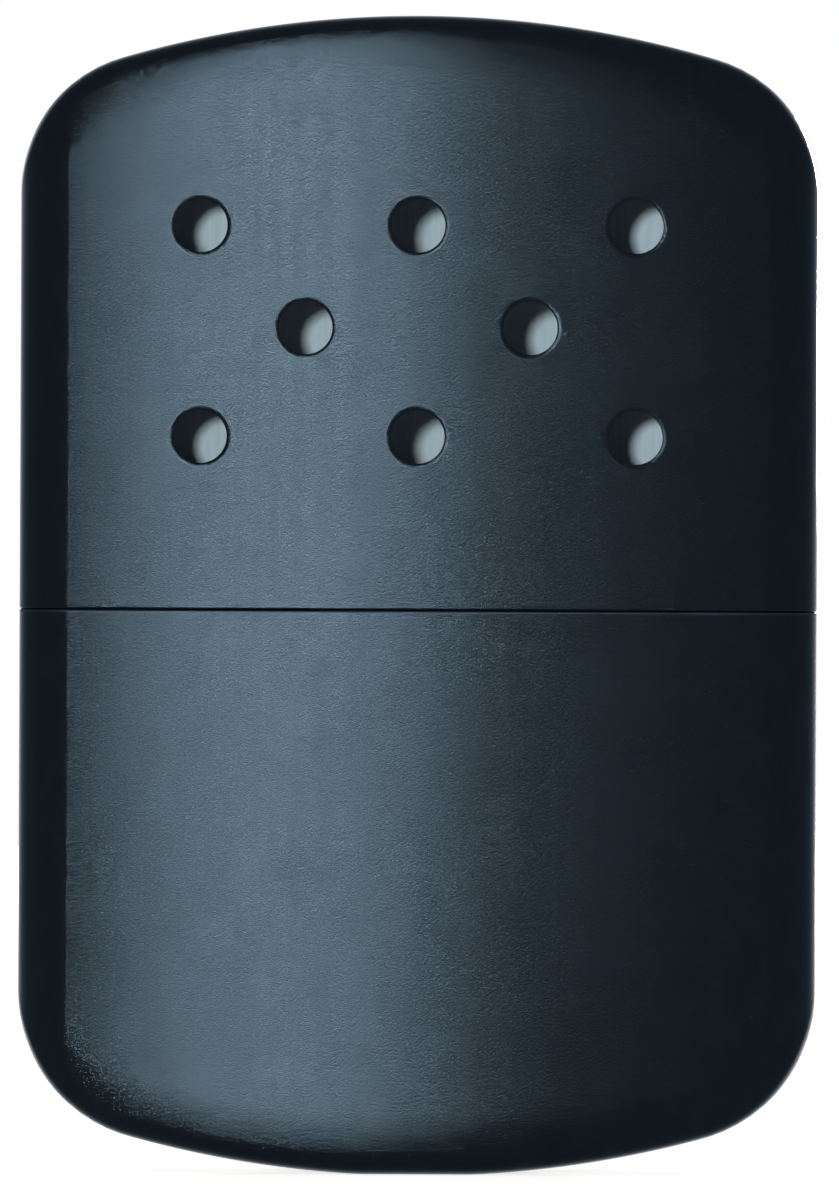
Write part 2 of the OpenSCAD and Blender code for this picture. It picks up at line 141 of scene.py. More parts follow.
# %% Helpers for rings and skins
def new_piece(name, points, faces, materials, face_slots=None, weld=0.0005):
    """An object from points in mm. Points closer than weld become one, and normals face out."""
    mesh = bpy.data.meshes.new(name)
    mesh.from_pydata([tuple(c * MM for c in p) for p in points], [], faces)
    for material in materials:
        mesh.materials.append(material)
    if face_slots:
        mesh.polygons.foreach_set("material_index", face_slots)
    form = bmesh.new()
    form.from_mesh(mesh)
    bmesh.ops.remove_doubles(form, verts=form.verts, dist=weld * MM)
    bmesh.ops.dissolve_degenerate(form, edges=form.edges, dist=weld * MM / 2)
    bmesh.ops.recalc_face_normals(form, faces=form.faces)
    form.to_mesh(mesh)
    form.free()
    mesh.polygons.foreach_set("use_smooth", [True] * len(mesh.polygons))
    piece = bpy.data.objects.new(name, mesh)
    bpy.context.scene.collection.objects.link(piece)
    return piece


def ring_faces(ring_count, ring_size, closed_run=True):
    """Quads between rings that follow one another, and from the last back to the first."""
    faces = []
    for r in range(ring_count if closed_run else ring_count - 1):
        low, high = r * ring_size, (r + 1) % ring_count * ring_size
        for i in range(ring_size):
            j = (i + 1) % ring_size
            faces.append((low + i, low + j, high + j, high + i))
    return faces


def end_faces(point_count, ring_size):
    """One face over the first ring and one over the last."""
    return [tuple(range(ring_size)), tuple(range(point_count - ring_size, point_count))]


def join(forms):
    """Several pairs of points and faces as one pair."""
    points, faces = [], []
    for more_points, more_faces in forms:
        faces += [tuple(len(points) + i for i in face) for face in more_faces]
        points += more_points
    return points, faces


def arc(u, v, radius, first, last, steps):
    """Points of an arc round (u, v), from one angle in degrees to another."""
    turns = [math.radians(first + (last - first) * i / steps) for i in range(steps + 1)]
    return [(u + radius * math.cos(t), v + radius * math.sin(t)) for t in turns]


def rounded_box(u_low, u_high, v_low, v_high, low_r, high_r, steps=6):
    """A rectangle with one radius at its two low corners in u, and one at its two high ones."""
    outline = arc(u_high - high_r, v_low + high_r, high_r, -90, 0, steps)
    outline += arc(u_high - high_r, v_high - high_r, high_r, 0, 90, steps)
    outline += arc(u_low + low_r, v_high - low_r, low_r, 90, 180, steps)
    return outline + arc(u_low + low_r, v_low + low_r, low_r, 180, 270, steps)


def swept(section, outline):
    """Points and faces of a closed section carried round an outline that takes an offset."""
    points = [(x, y, z) for off, z in section for x, y in outline(off)]
    return points, ring_faces(len(section), len(points) // len(section))


def sharpen(piece, degrees=35):
    """Keeps edges that turn more than this crisp, and the rest smooth."""
    piece.data.set_sharp_from_angle(angle=math.radians(degrees))


# %% [markdown]
# ## Finishes
# Each finish is built from nodes, so it has no picture to stretch and looks the same on any mesh.
# Noise in the object's own coordinates is measured in metres, so its scale can be set from the size
# of the real grain: a grain of 0.25 mm is a scale of 4000. The helpers fill a node's inputs, set up
# the shader, and turn a noise into a range, a row of colours or a relief.

# %% Helpers for finishes
def plug(node, inputs):
    """Fills a node's inputs. Each is a number, a colour or another node's output."""
    for socket, value in inputs.items():
        if isinstance(value, bpy.types.NodeSocket):
            node.id_data.links.new(value, node.inputs[socket])
        else:
            node.inputs[socket].default_value = value
    return node


def add_node(tree, kind, inputs=(), **settings):
    node = tree.nodes.new(kind)
    for name, value in settings.items():
        setattr(node, name, value)
    return plug(node, dict(inputs))


def maths(tree, operation, *values):
    """The result of one sum, of numbers or other nodes' outputs."""
    return add_node(tree, "ShaderNodeMath", enumerate(values), operation=operation).outputs["Value"]


def new_finish(name, color, metallic, roughness, **sockets):
    """A material with a Principled shader. More sockets are given by name, with _ for spaces."""
    finish = bpy.data.materials.new(name)
    finish.use_nodes = True
    shader = finish.node_tree.nodes["Principled BSDF"]
    plug(shader, {"Base Color": (*color, 1), "Metallic": metallic, "Roughness": roughness})
    plug(shader, {socket.replace("_", " "): value for socket, value in sockets.items()})
    return finish, shader


def place_in(tree, size_mm, stretch):
    """A point's place in the object, counted in grains of size_mm times stretch."""
    place = add_node(tree, "ShaderNodeTexCoord").outputs["Object"]
    scale = tuple(1 / (size_mm * MM * s) for s in stretch)
    return add_node(tree, "ShaderNodeMapping", {"Vector": place, "Scale": scale}).outputs["Vector"]


def height_in(tree):
    """A point's height in the object, in metres."""
    place = add_node(tree, "ShaderNodeTexCoord").outputs["Object"]
    return add_node(tree, "ShaderNodeSeparateXYZ", {"Vector": place}).outputs["Z"]


def grain(tree, size_mm, stretch=(1, 1, 1), detail=3.0, rough=0.55):
    """Noise whose blobs measure about size_mm, longer where stretch is more than 1."""
    place = place_in(tree, size_mm, stretch)
    inputs = {"Vector": place, "Scale": 1.0, "Detail": detail, "Roughness": rough}
    return add_node(tree, "ShaderNodeTexNoise", inputs).outputs["Fac"]


def spread(tree, value, low, high, from_low=0.3, from_high=0.7):
    """Turns a noise value into a range, for a socket that takes a number."""
    inputs = {"Value": value, "From Min": from_low, "From Max": from_high, "To Min": low, "To Max": high}
    return add_node(tree, "ShaderNodeMapRange", inputs).outputs["Result"]


def tint(tree, value, colors, low=0.35, high=0.65):
    """Runs a value through a row of colours, evenly spaced between low and high."""
    node = add_node(tree, "ShaderNodeValToRGB", {"Fac": value})
    stops = node.color_ramp.elements
    stops[0].position, stops[0].color = low, (*colors[0], 1)
    stops[1].position, stops[1].color = high, (*colors[-1], 1)
    for i, color in enumerate(colors[1:-1], 1):
        stops.new(low + (high - low) * i / (len(colors) - 1)).color = (*color, 1)
    return node.outputs["Color"]


def relief(shader, layers):
    """Bump from several (height, depth in mm, strength) layers, one on the other."""
    below = {}
    for height, depth_mm, strength in layers:
        inputs = {"Distance": depth_mm * MM, "Strength": strength, "Height": height, **below}
        below = {"Normal": add_node(shader.id_data, "ShaderNodeBump", inputs).outputs["Normal"]}
    plug(shader, below)


# %% [markdown]
# ### The coat
# The case has a thin, dark blue-grey coat with a fine powder grain. It is nearly black where it
# mirrors nothing, and a lamp spreads over it into one wide, even band with soft sides. Roughness
# alone gives a band that is too bright in the middle and too slow to fade. Powder that melts into
# tiny domes does better: a sheet of domes spreads a lamp evenly up to its steepest slope and no
# further. So the relief is a cell pattern with a dome in each cell, and the roughness only softens
# it. The band is blue-grey and not white, as on a metal, so the coat is a very dark metal here. Its
# specular tint lowers the gloss at grazing angles, which keeps the outline dark on a white ground.
# Along the tank's rim the coat is a little lighter and rougher in a thin band.

# %% Coat of the case
COAT = (0.0056, 0.0085, 0.0122)
COAT_SHADES = [(0.0052, 0.0079, 0.0113), (0.006, 0.0091, 0.013)]
# colour of the thin, lighter band just below the tank's rim
RIM_BAND_COLOR = (0.0125, 0.0195, 0.031)
GRAZING_TINT = (0.55, 0.58, 0.62)
DOME_MM = 0.11          # width of one grain of powder
DOME_SQUASH = 0.58      # its height up the case, as a share of its width
DOME_SLOPE = 0.088      # slope half way out from a dome's top to its neighbour's
DOME_EVENNESS = 0.25    # 0 scatters the domes by chance, 1 lays them out in a grid
RIM_BAND_LOW = 0.3          # the lighter, rougher band starts this far below the tank's rim
RIM_BAND_FULL = 0.12        # and is full this far below it
RIM_BAND_ROUGH = 0.6


def domes(tree, size_mm):
    """Height of a sheet of small domes, 0 at their tops, in units of their width."""
    place = place_in(tree, size_mm, (1, 1, DOME_SQUASH))
    inputs = {"Vector": place, "Scale": 1.0, "Randomness": 1 - DOME_EVENNESS}
    distance = add_node(tree, "ShaderNodeTexVoronoi", inputs).outputs["Distance"]
    return maths(tree, "MULTIPLY", distance, distance)


def rim_band(tree):
    """1 in a thin band just below the tank's rim, 0 elsewhere."""
    height = height_in(tree)
    low, high = tank_high.z - RIM_BAND_LOW, tank_high.z - RIM_BAND_FULL
    near_rim = spread(tree, height, 0.0, 1.0, low * MM, high * MM)
    on_tank = maths(tree, "LESS_THAN", height, (lid_low.z + tank_high.z) / 2 * MM)
    patches = spread(tree, grain(tree, 1.5, stretch=(3, 3, 1), detail=4), 0.35, 1.0)
    return maths(tree, "MULTIPLY", maths(tree, "MULTIPLY", near_rim, on_tank), patches)


def make_coat():
    finish, shader = new_finish("case_coat", COAT, 1.0, 0.1, Specular_Tint=(*GRAZING_TINT, 1))
    tree = finish.node_tree
    mottle = tint(tree, grain(tree, 1.6, stretch=(1, 1, 2), detail=5, rough=0.7), COAT_SHADES)
    # A thin band just below the tank's rim is made lighter and rougher than the rest of the coat.
    rim_band_mask = rim_band(tree)
    colors = {"Factor": rim_band_mask, "A": mottle, "B": (*RIM_BAND_COLOR, 1)}
    color = add_node(tree, "ShaderNodeMix", colors, data_type="RGBA").outputs["Result"]
    streaks = spread(tree, grain(tree, 0.6, stretch=(1, 1, 30), detail=2), 0.085, 0.115)
    rim_band_roughness = spread(tree, rim_band_mask, 0.0, RIM_BAND_ROUGH, 0.0, 1.0)
    plug(shader, {"Base Color": color, "Roughness": maths(tree, "MAXIMUM", streaks, rim_band_roughness)})
    relief(shader, [(domes(tree, DOME_MM), -DOME_SLOPE * DOME_MM, 1.0)])
    return finish


coat = make_coat()
print(f"coat of {DOME_MM} mm grains, slopes up to {math.degrees(math.atan(DOME_SLOPE)):.1f} degrees")

# %% [markdown]
# ### Bare and plated metal
# Inside, the shells are bare drawn steel: dull and rough, with faint streaks in the direction the
# punch pulled the metal. A thin film of oil and soot makes it more a grey paint than a metal. The
# collar, deck and neck are plated and smooth, with fine marks up and down where the lid has slid. The
# burner's steel has been hot, and hot steel takes a straw to blue tint that grows towards the
# catalyst.

# %% Metals
HOT_STEEL = [
    (0.5, 0.49, 0.48), (0.5, 0.48, 0.45), (0.48, 0.4, 0.29), (0.35, 0.29, 0.27), (0.29, 0.31, 0.36),
]
HEAT_WANDER = 0.35      # how far the tint's edge wanders, as a share of the burner's height


def make_metal(name, color, roughness, marks, shades, rough, layer=None, metallic=1.0, **sockets):
    """A metal with one kind of marks, which change its colour, its roughness and its relief."""
    finish, shader = new_finish(name, color, metallic, roughness, **sockets)
    tree = finish.node_tree
    noise_value = grain(tree, **marks)
    roughness = spread(tree, noise_value, *rough)
    plug(shader, {"Roughness": roughness, "Base Color": tint(tree, noise_value, shades)})
    if layer:
        relief(shader, [(noise_value, *layer)])
    return finish


def make_burner_steel():
    finish, shader = new_finish("burner_steel", (0.48, 0.46, 0.43), 1.0, 0.3)
    tree = finish.node_tree
    height = spread(tree, height_in(tree), 0.0, 1.0, skirt_low.z * MM, hood_high.z * MM)
    heat = maths(tree, "MULTIPLY_ADD", grain(tree, 3, detail=3), HEAT_WANDER, height)
    brushing = grain(tree, 0.12, stretch=(20, 20, 1))
    color = tint(tree, heat, HOT_STEEL, low=0.3, high=1.0)
    plug(shader, {"Base Color": color, "Roughness": spread(tree, brushing, 0.26, 0.38)})
    relief(shader, [(brushing, 0.004, 0.4)])
    return finish


bare_steel = make_metal(
    "bare_steel", (0.275, 0.365, 0.45), 0.72, dict(size_mm=0.35, stretch=(1, 1, 14)),
    [(0.245, 0.33, 0.41), (0.305, 0.4, 0.49)], (0.66, 0.78), (0.01, 0.4),
    metallic=0.2, Specular_IOR_Level=0.3,
)
plating = make_metal(
    "plated_steel", (0.47, 0.475, 0.485), 0.24, dict(size_mm=0.08, stretch=(1, 1, 30)),
    [(0.44, 0.445, 0.455), (0.49, 0.495, 0.505)], (0.2, 0.27), (0.001, 0.3),
)
burner_steel = make_burner_steel()
rivet_steel = make_metal(
    "rivet_steel", (0.55, 0.54, 0.53), 0.28, dict(size_mm=0.3, detail=4),
    [(0.42, 0.4, 0.38), (0.6, 0.59, 0.58)], (0.22, 0.4), (0.01, 0.3),
)
wire_finish = make_metal(
    "gauze_wire", (0.3, 0.3, 0.31), 0.42, dict(size_mm=0.8, detail=4),
    [(0.2, 0.2, 0.215), (0.38, 0.37, 0.37)], (0.36, 0.5),
)

# %% [markdown]
# ### Fibres
# The catalyst mat is glass fibre, grey from the metal it carries, and the wadding is raw cotton.
# Both are dull and scatter light from a fuzz of fibre ends, which the shader's sheen stands for.

# %% Glass fibre and cotton
FUZZ = dict(Sheen_Weight=0.35, Sheen_Roughness=0.6, Specular_IOR_Level=0.2)


def make_fibre(name, dark, light, size_mm, depth_mm):
    finish, shader = new_finish(name, light, 0.0, 0.92, **FUZZ)
    tree = finish.node_tree
    lumps = grain(tree, size_mm * 5, detail=5, rough=0.65)
    threads = grain(tree, size_mm, stretch=(5, 1, 1), detail=4, rough=0.7)
    plug(shader, {"Base Color": tint(tree, lumps, [dark, light])})
    relief(shader, [(lumps, depth_mm, 0.5), (threads, depth_mm / 3, 0.8)])
    return finish


GREY_GLASS = (0.2, 0.2, 0.195), (0.36, 0.36, 0.35)
RAW_COTTON = (0.7, 0.67, 0.6), (0.86, 0.84, 0.78)
glass_fibre = make_fibre("catalyst_fibre", *GREY_GLASS, size_mm=0.15, depth_mm=0.1)
cotton = make_fibre("raw_cotton", *RAW_COTTON, size_mm=0.3, depth_mm=0.3)
finishes = (coat, bare_steel, plating, burner_steel, rivet_steel, wire_finish, glass_fibre, cotton)
print("finishes:", [finish.name for finish in finishes])

# %% [markdown]
# ## The drawn shells
# A drawn shell is one sheet of metal: straight walls, and an end that arches from side to side, with
# softly rounded front and back edges. It could be sculpted from a subdivided cube, but then its
# outline would only be near the real one. Instead it is built as a run of hoops. Each hoop starts at
# the rim, climbs the front wall, goes over the end and comes down the back wall. The same hoops,
# inset by the wall, make the inside, and the two skins meet in the middle of the rim.

# %% One hoop of a shell
WALL_ROWS = 20
LEAN_STEPS = 5
EDGE_STEPS = 9
ACROSS_STEPS = 3
RIM_STEPS = 4
EDGE_SHARE = 0.85       # the edge reaches at most this far towards the middle plane


def arch_height(x, inset, cup):
    """Height of the end above the rim: a wide arc between two shoulders, cut flat at a foot."""
    arch_r, shoulder_r = cup["arch_r"], cup["shoulder_r"]
    centre_x = HALF_W - shoulder_r
    centre_depth = arch_r - math.sqrt((arch_r - shoulder_r) ** 2 - centre_x ** 2)
    apex = cup["h"] + arch_r - math.sqrt(arch_r ** 2 - cup["flat_w"] ** 2 / 4)
    out = abs(x)
    if out < centre_x * (arch_r - inset) / (arch_r - shoulder_r):
        height = apex - arch_r + math.sqrt((arch_r - inset) ** 2 - out ** 2)
    else:
        rise = math.sqrt(max(0, (shoulder_r - inset) ** 2 - (out - centre_x) ** 2))
        height = apex - centre_depth + rise
    return min(cup["h"] - inset, height)


def climb(angle, inset, cup, first_z):
    """The points of a hoop from a height on the wall, up and over to the middle of the end."""
    x, y = oval(angle, inset)
    top = arch_height(x, inset, cup)
    high = cup["edge_h"] - inset
    deep = min(cup["edge_d"] - inset, EDGE_SHARE * y)
    lean, lean_h = cup["lean_d"] * y / HALF_T, cup["lean_h"]
    first = math.atan2(2 * lean * high, lean_h * deep)
    foot = top - high * (1 - math.sin(first)) - lean_h
    points = [(x, y, first_z + (foot - first_z) * i / WALL_ROWS) for i in range(WALL_ROWS + 1)]
    for share in (i / LEAN_STEPS for i in range(1, LEAN_STEPS)):
        points.append((x, y - lean * share ** 2, foot + lean_h * share))
    for i in range(EDGE_STEPS + 1):
        turn = first + (math.pi / 2 - first) * i / EDGE_STEPS
        depth = lean + deep * (math.cos(first) - math.cos(turn))
        points.append((x, y - depth, top - high * (1 - math.sin(turn))))
    y_edge = points[-1][1]
    return points + [(x, y_edge * (1 - i / ACROSS_STEPS), top) for i in range(1, ACROSS_STEPS + 1)]


def hoop(angle, inset, cup, rim_r):
    """One side of a hoop as (x, y, height) from the rim to the middle of the end."""
    side = 1 if inset < WALL / 2 else -1
    rim = [(WALL / 2, 0.0)]
    for i in range(RIM_STEPS):
        turn = math.radians(90 * i / RIM_STEPS)
        rim.append((inset + side * rim_r * (1 - math.sin(turn)), rim_r * (1 - math.cos(turn))))
    return [(*oval(angle, off), z) for off, z in rim] + climb(angle, inset, cup, rim_r)


WALL_FIRST = RIM_STEPS + 1
WALL_LAST = WALL_FIRST + WALL_ROWS
print(f"{WALL_LAST + LEAN_STEPS + EDGE_STEPS + ACROSS_STEPS + 1} points up each side of a hoop")

# %% [markdown]
# ### Vents
# The eight vents are punched, and the punch pulls the sheet in a little, so each lies in a shallow
# dish that catches the light on one side. A boolean cut gives a hard edge and an untidy mesh round
# it. Here the part of the front wall that holds the vents is laid out flat instead, as the sheet was
# before it was drawn, and a Delaunay triangulation fills it round the circles. Bent back onto the
# face, it meets the hoops point for point, and rings of the lip grow out of each circle. A flat
# guard ring round each lip keeps the long thin triangles of the wall away from it.

# %% A front wall with round holes
VENT_D = 4.6
VENT_POINTS = 56
LIP_R = 0.1             # radius of the punched edge
LIP_STEPS = 4
DISH_W = 0.3            # the sheet dips towards the edge over this width
DISH_TILT = 13.0        # and leans in by this many degrees where the edge begins
DISH_STEPS = 4
GUARD = 0.25            # flat ring kept round each lip
VENT_PITCH = 18.6
VENT_MID_PITCH = 19.2
VENT_ROWS_Z = {"top": 81.0, "middle": 72.3, "low": 63.0}
INSIDE_HOLE = 0.995     # a face whose middle lies within this share of the radius is in the hole
FLAT_WELD = 1e-5


def vent_places():
    places = [(i * VENT_PITCH, VENT_ROWS_Z[row]) for row in ("top", "low") for i in (-1, 0, 1)]
    return places + [(s * VENT_MID_PITCH / 2, VENT_ROWS_Z["middle"]) for s in (-1, 1)]


def face_y(x, inset):
    """Distance of the face from the middle plane, at x."""
    return math.sqrt((FACE_R - inset) ** 2 - x ** 2) - FACE_DEPTH


def circle(x, z, radius, count=VENT_POINTS):
    turns = [2 * math.pi * i / count for i in range(count)]
    return [(x + radius * math.cos(t), z + radius * math.sin(t)) for t in turns]


def pierced_wall(columns, inset, radius):
    """Triangles between the columns of (x, z) wall points, with a round hole at each vent."""
    border = columns[0] + [column[-1] for column in columns[1:]]
    border += columns[-1][-2::-1] + [column[0] for column in columns[-2:0:-1]]
    holes = vent_places()
    inner = [p for column in columns[1:-1] for p in column[1:-1]
             if all(math.dist(p, hole) > radius + 2 * GUARD for hole in holes)]
    points = border + inner + [p for hole in holes for p in circle(*hole, radius + GUARD)]
    edges = [(i, (i + 1) % len(border)) for i in range(len(border))]
    for hole in holes:
        start = len(points)
        points += circle(*hole, radius)
        edges += [(start + i, start + (i + 1) % VENT_POINTS) for i in range(VENT_POINTS)]
    verts, _, faces, *_ = delaunay_2d_cdt([Vector(p) for p in points], edges, [], 0, FLAT_WELD)
    kept = []
    for face in faces:
        middle = sum((verts[i] for i in face), Vector((0, 0))) / len(face)
        if all(math.dist(middle, hole) > radius * INSIDE_HOLE for hole in holes):
            kept.append(tuple(face))
    return [(v.x, -face_y(v.x, inset), v.y) for v in verts], kept


def lip_profile():
    """The punched edge as (distance outside the hole, depth below the face), from the face inwards."""
    tilt = math.radians(DISH_TILT)
    dip = DISH_W * math.tan(tilt) / 2
    shares = [i / DISH_STEPS for i in range(DISH_STEPS)]
    profile = [(LIP_R + DISH_W * (1 - share), dip * share ** 2) for share in shares]
    for i in range(LIP_STEPS + 1):
        turn = tilt + (math.pi / 2 - tilt) * i / LIP_STEPS
        across = (1 - math.sin(turn)) / (1 - math.sin(tilt))
        profile.append((LIP_R * across, dip + LIP_R * (math.cos(tilt) - math.cos(turn))))
    return profile + [(0.0, WALL)]


def vent_lip(x, z):
    """Rings from the flat of the face, over the dip and the edge, and through the metal."""
    rings = []
    for out, depth in lip_profile():
        through = depth == WALL
        inset, dip = (WALL, 0.0) if through else (0.0, depth)
        around = circle(x, z, VENT_D / 2 + out)
        rings.append([(px, dip - face_y(px, inset), pz) for px, pz in around])
    return rings


print("vents:", len(vent_places()), "of", VENT_D, "mm")

# %% [markdown]
# ### Both shells
# The lid and the tank are the same kind of cup, so one function makes them. The tank is the lid's
# recipe upside down, without vents, and with a flat foot to stand on. The outside and the rim take
# the coat, and the inside stays bare steel.

# %% Make the lid and the tank
SEAM_Z = (lid_low.z + tank_high.z) / 2      # the rims touch, and their edges leave one groove
LID_CUP = dict(
    h=lid_high.z - SEAM_Z, arch_r=92.0, shoulder_r=12.0, flat_w=0.0,
    edge_h=1.3, edge_d=2.2, lean_h=5.0, lean_d=0.33,
)
TANK_CUP = dict(
    h=SEAM_Z - tank_low.z, arch_r=95.0, shoulder_r=13.0, flat_w=10.0,
    edge_h=1.4, edge_d=2.6, lean_h=4.0, lean_d=0.24,
)
RIM_R = 0.2
SIDE_HOOPS = 18
FACE_HOOPS = 26
VENTED_HALF_W = 26.0
ON_WALL = 0.0005
SKIN_WELD = 0.002


def wall_normal(x, y):
    """The true normal of the outside wall at a point of the oval, or nothing away from it."""
    out, deep = abs(x), abs(y)
    if math.atan2(deep, out - SIDE_X) < JOIN:
        normal, radius = Vector((out - SIDE_X, deep, 0)), SIDE_R
    else:
        normal, radius = Vector((out, deep + FACE_DEPTH, 0)), FACE_R
    if abs(normal.length - radius) > ON_WALL:
        return Vector((0, 0, 0))
    return Vector((math.copysign(normal.x, x), math.copysign(normal.y, y), 0)).normalized()


def true_walls(piece):
    """Lights the straight walls by their true normals, so that rims and lips don't shade them."""
    normals = [wall_normal(v.co.x / MM, v.co.y / MM) for v in piece.data.vertices]
    piece.data.normals_split_custom_set_from_vertices(normals)


def hoop_quads(hoop_count, hoop_size, pierced=()):
    """Quads between neighbouring hoops, left out on the wall between the pierced ones."""
    quads = []
    for h in range(hoop_count - 1):
        for k in range(hoop_size - 1):
            if h in pierced and h + 1 in pierced and WALL_FIRST <= k < WALL_LAST:
                continue
            a = h * hoop_size + k
            quads.append((a, a + hoop_size, a + hoop_size + 1, a + 1))
    return quads


def shell(name, node, cup, up, vented):
    forms, slots = [], []

    def add(points, faces, slot):
        forms.append((points, faces))
        slots.extend([slot] * len(faces))

    for slot, inset in enumerate((0.0, WALL)):
        halves = [hoop(a, inset, cup, RIM_R) for a in half_angles(SIDE_HOOPS, FACE_HOOPS)]
        run = [i for i, half in enumerate(halves) if vented and abs(half[-1][0]) <= VENTED_HALF_W]
        for side, pierced in ((-1, run), (1, ())):
            skin = [(x, side * y, z) for half in halves for x, y, z in half]
            add(skin, hoop_quads(len(halves), len(halves[0]), pierced), slot)
        if vented:
            walls = [halves[i][WALL_FIRST:WALL_LAST + 1] for i in run]
            columns = [[(x, z + SEAM_Z) for x, _, z in wall] for wall in walls]
            lip = LIP_R + DISH_W if inset == 0 else 0
            wall_points, wall_faces = pierced_wall(columns, inset, VENT_D / 2 + lip)
            add([(x, y, z - SEAM_Z) for x, y, z in wall_points], wall_faces, slot)
    for x, z in vent_places() if vented else []:
        rings = vent_lip(x, z - SEAM_Z)
        add(sum(rings, []), ring_faces(len(rings), VENT_POINTS, closed_run=False), 0)
    points, faces = join(forms)
    placed = [(x, y, SEAM_Z + z if up else SEAM_Z - z) for x, y, z in points]
    piece = new_piece(name, placed, faces, [coat, bare_steel], slots, weld=SKIN_WELD)
    true_walls(piece)
    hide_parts(node)
    print(name, len(piece.data.vertices), "points")
    return piece


lid_case = shell("lid_case", "lid_shell", LID_CUP, up=True, vented=True)
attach(lid_case, "lid")
tank_case = shell("tank_case", "tank_shell", TANK_CUP, up=False, vented=False)
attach(tank_case, "tank")

# %% [markdown]
# ## Collar, deck and neck
# These three are seen when the lid is off. Each is thin sheet carried round an outline, so each is a
# section swept round it. The collar's grip pips are pressed out from inside, so they are shallow
# domes that sit on its faces.

# %% Collar with its grip pips
COLLAR_INSET = HALF_W - collar_high.x
COLLAR_WALL = 0.45
COLLAR_EDGE_R = 0.18
STRIP_STEPS = 4
PIP_X = 20.0
PIP_H = 0.07
PIP_SUNK = 0.02         # the outermost ring lies this far inside the collar
PIP_BALL_R = 4.0
PIP_RINGS = 5
PIP_POINTS = 24


def strip(off_low, off_high, z_low, z_high, radius):
    """A strip of sheet metal with rounded corners, as the section of a sweep."""
    return rounded_box(off_low, off_high, z_low, z_high, radius, radius, STRIP_STEPS)


def pip_dome(x, face, z):
    """A shallow dome on the collar's face: rings of a ball's cap, and a point on top."""
    reach = math.sqrt(2 * PIP_BALL_R * PIP_H)
    points = []
    for i in range(PIP_RINGS):
        share = 1 - i / PIP_RINGS
        lift = PIP_H * (1 - share ** 2) - (PIP_SUNK if i == 0 else 0)
        for px, pz in circle(x, z, reach * share, PIP_POINTS):
            points.append((px, face * (face_y(px, COLLAR_INSET) + lift), pz))
    faces = ring_faces(PIP_RINGS, PIP_POINTS, closed_run=False)
    last, peak = len(points) - PIP_POINTS, len(points)
    points.append((x, face * (face_y(x, COLLAR_INSET) + PIP_H), z))
    return points, faces + [(last + j, last + (j + 1) % PIP_POINTS, peak) for j in range(PIP_POINTS)]


def make_collar():
    section = strip(COLLAR_INSET, COLLAR_INSET + COLLAR_WALL, collar_low.z, collar_high.z, COLLAR_EDGE_R)
    pip_z = (tank_high.z + collar_high.z) / 2
    pips = [pip_dome(x, face, pip_z) for x in (-PIP_X, PIP_X) for face in (-1, 1)]
    piece = new_piece("collar", *join([swept(section, oval_ring), *pips]), [plating])
    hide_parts("tank_collar")
    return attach(piece, "tank")


collar = make_collar()
print("collar:", len(collar.data.vertices), "points")

# %% [markdown]
# The deck is a pan turned upside down, with a hole for the neck. Its hole and its rim are different
# outlines, so a ray from the middle finds the point of the neck's outline that belongs to each
# point of the oval, and the flat between them closes without a twist.

# %% Deck
FLANGE_W = 1.2
NECK_HALF_T = neck_high.y - FLANGE_W
NECK_STRAIGHT = neck_high.x - neck_high.y
DECK_INSET = HALF_W - deck_high.x
DECK_SHEET = 0.5
DECK_EDGE_R = 0.5
PAN_STEPS = 5
HOLE_GROW = 0.05


def neck_ray(x, y, grow):
    """The point of the neck's outline in the direction of (x, y)."""
    straight, radius = NECK_STRAIGHT, NECK_HALF_T + grow
    if abs(x) * radius <= straight * abs(y):
        return x * radius / abs(y), math.copysign(radius, y)
    length = math.hypot(x, y)
    dx, dy = x / length, y / length
    centre = math.copysign(straight, x)
    reach = centre * dx + math.sqrt(radius ** 2 - (centre * dy) ** 2)
    return dx * reach, dy * reach


def make_deck():
    top, inside = deck_high.z, DECK_INSET + DECK_SHEET
    rim = [(inside, deck_low.z), (DECK_INSET, deck_low.z)]
    rim += arc(DECK_INSET + DECK_EDGE_R, top - DECK_EDGE_R, DECK_EDGE_R, 180, 90, PAN_STEPS)
    guide = oval_ring(DECK_INSET)
    hole = [neck_ray(x, y, HOLE_GROW) for x, y in guide]
    flats = [(hole, top), (hole, top - DECK_SHEET), (oval_ring(inside), top - DECK_SHEET)]
    rings = [(oval_ring(off), z) for off, z in rim] + flats
    points = [(x, y, z) for ring, z in rings for x, y in ring]
    piece = new_piece("deck", points, ring_faces(len(rings), len(guide)), [plating])
    sharpen(piece, 50)
    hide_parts("tank_deck")
    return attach(piece, "tank")


make_deck()
print(f"deck top at {deck_high.z:.1f} mm")

# %% [markdown]
# The neck is a drawn tube with round ends and a flange soldered to the deck. Its outline is two half
# circles and two straights, and the section goes once round the metal: up the outside, over the
# flange, over the lip and down the bore.

# %% Filler neck
END_STEPS = 20
STRAIGHT_STEPS = 8
NECK_WALL = 0.5
FLANGE_H = 0.5
NECK_R = 0.12           # rounding of the flange and of the tube's foot
LIP_CUT = 0.07          # the lip's two corners are cut by this much


def neck_ring(grow):
    """The neck's outline as a closed ring, from the right end round by the back."""
    straight, radius = NECK_STRAIGHT, NECK_HALF_T + grow
    ring = []
    for side, first in ((1, -90), (-1, 90)):
        ring += arc(side * straight, 0, radius, first, first + 180, END_STEPS)
        for i in range(1, STRAIGHT_STEPS):
            ring.append((side * straight * (1 - 2 * i / STRAIGHT_STEPS), side * radius))
    return ring


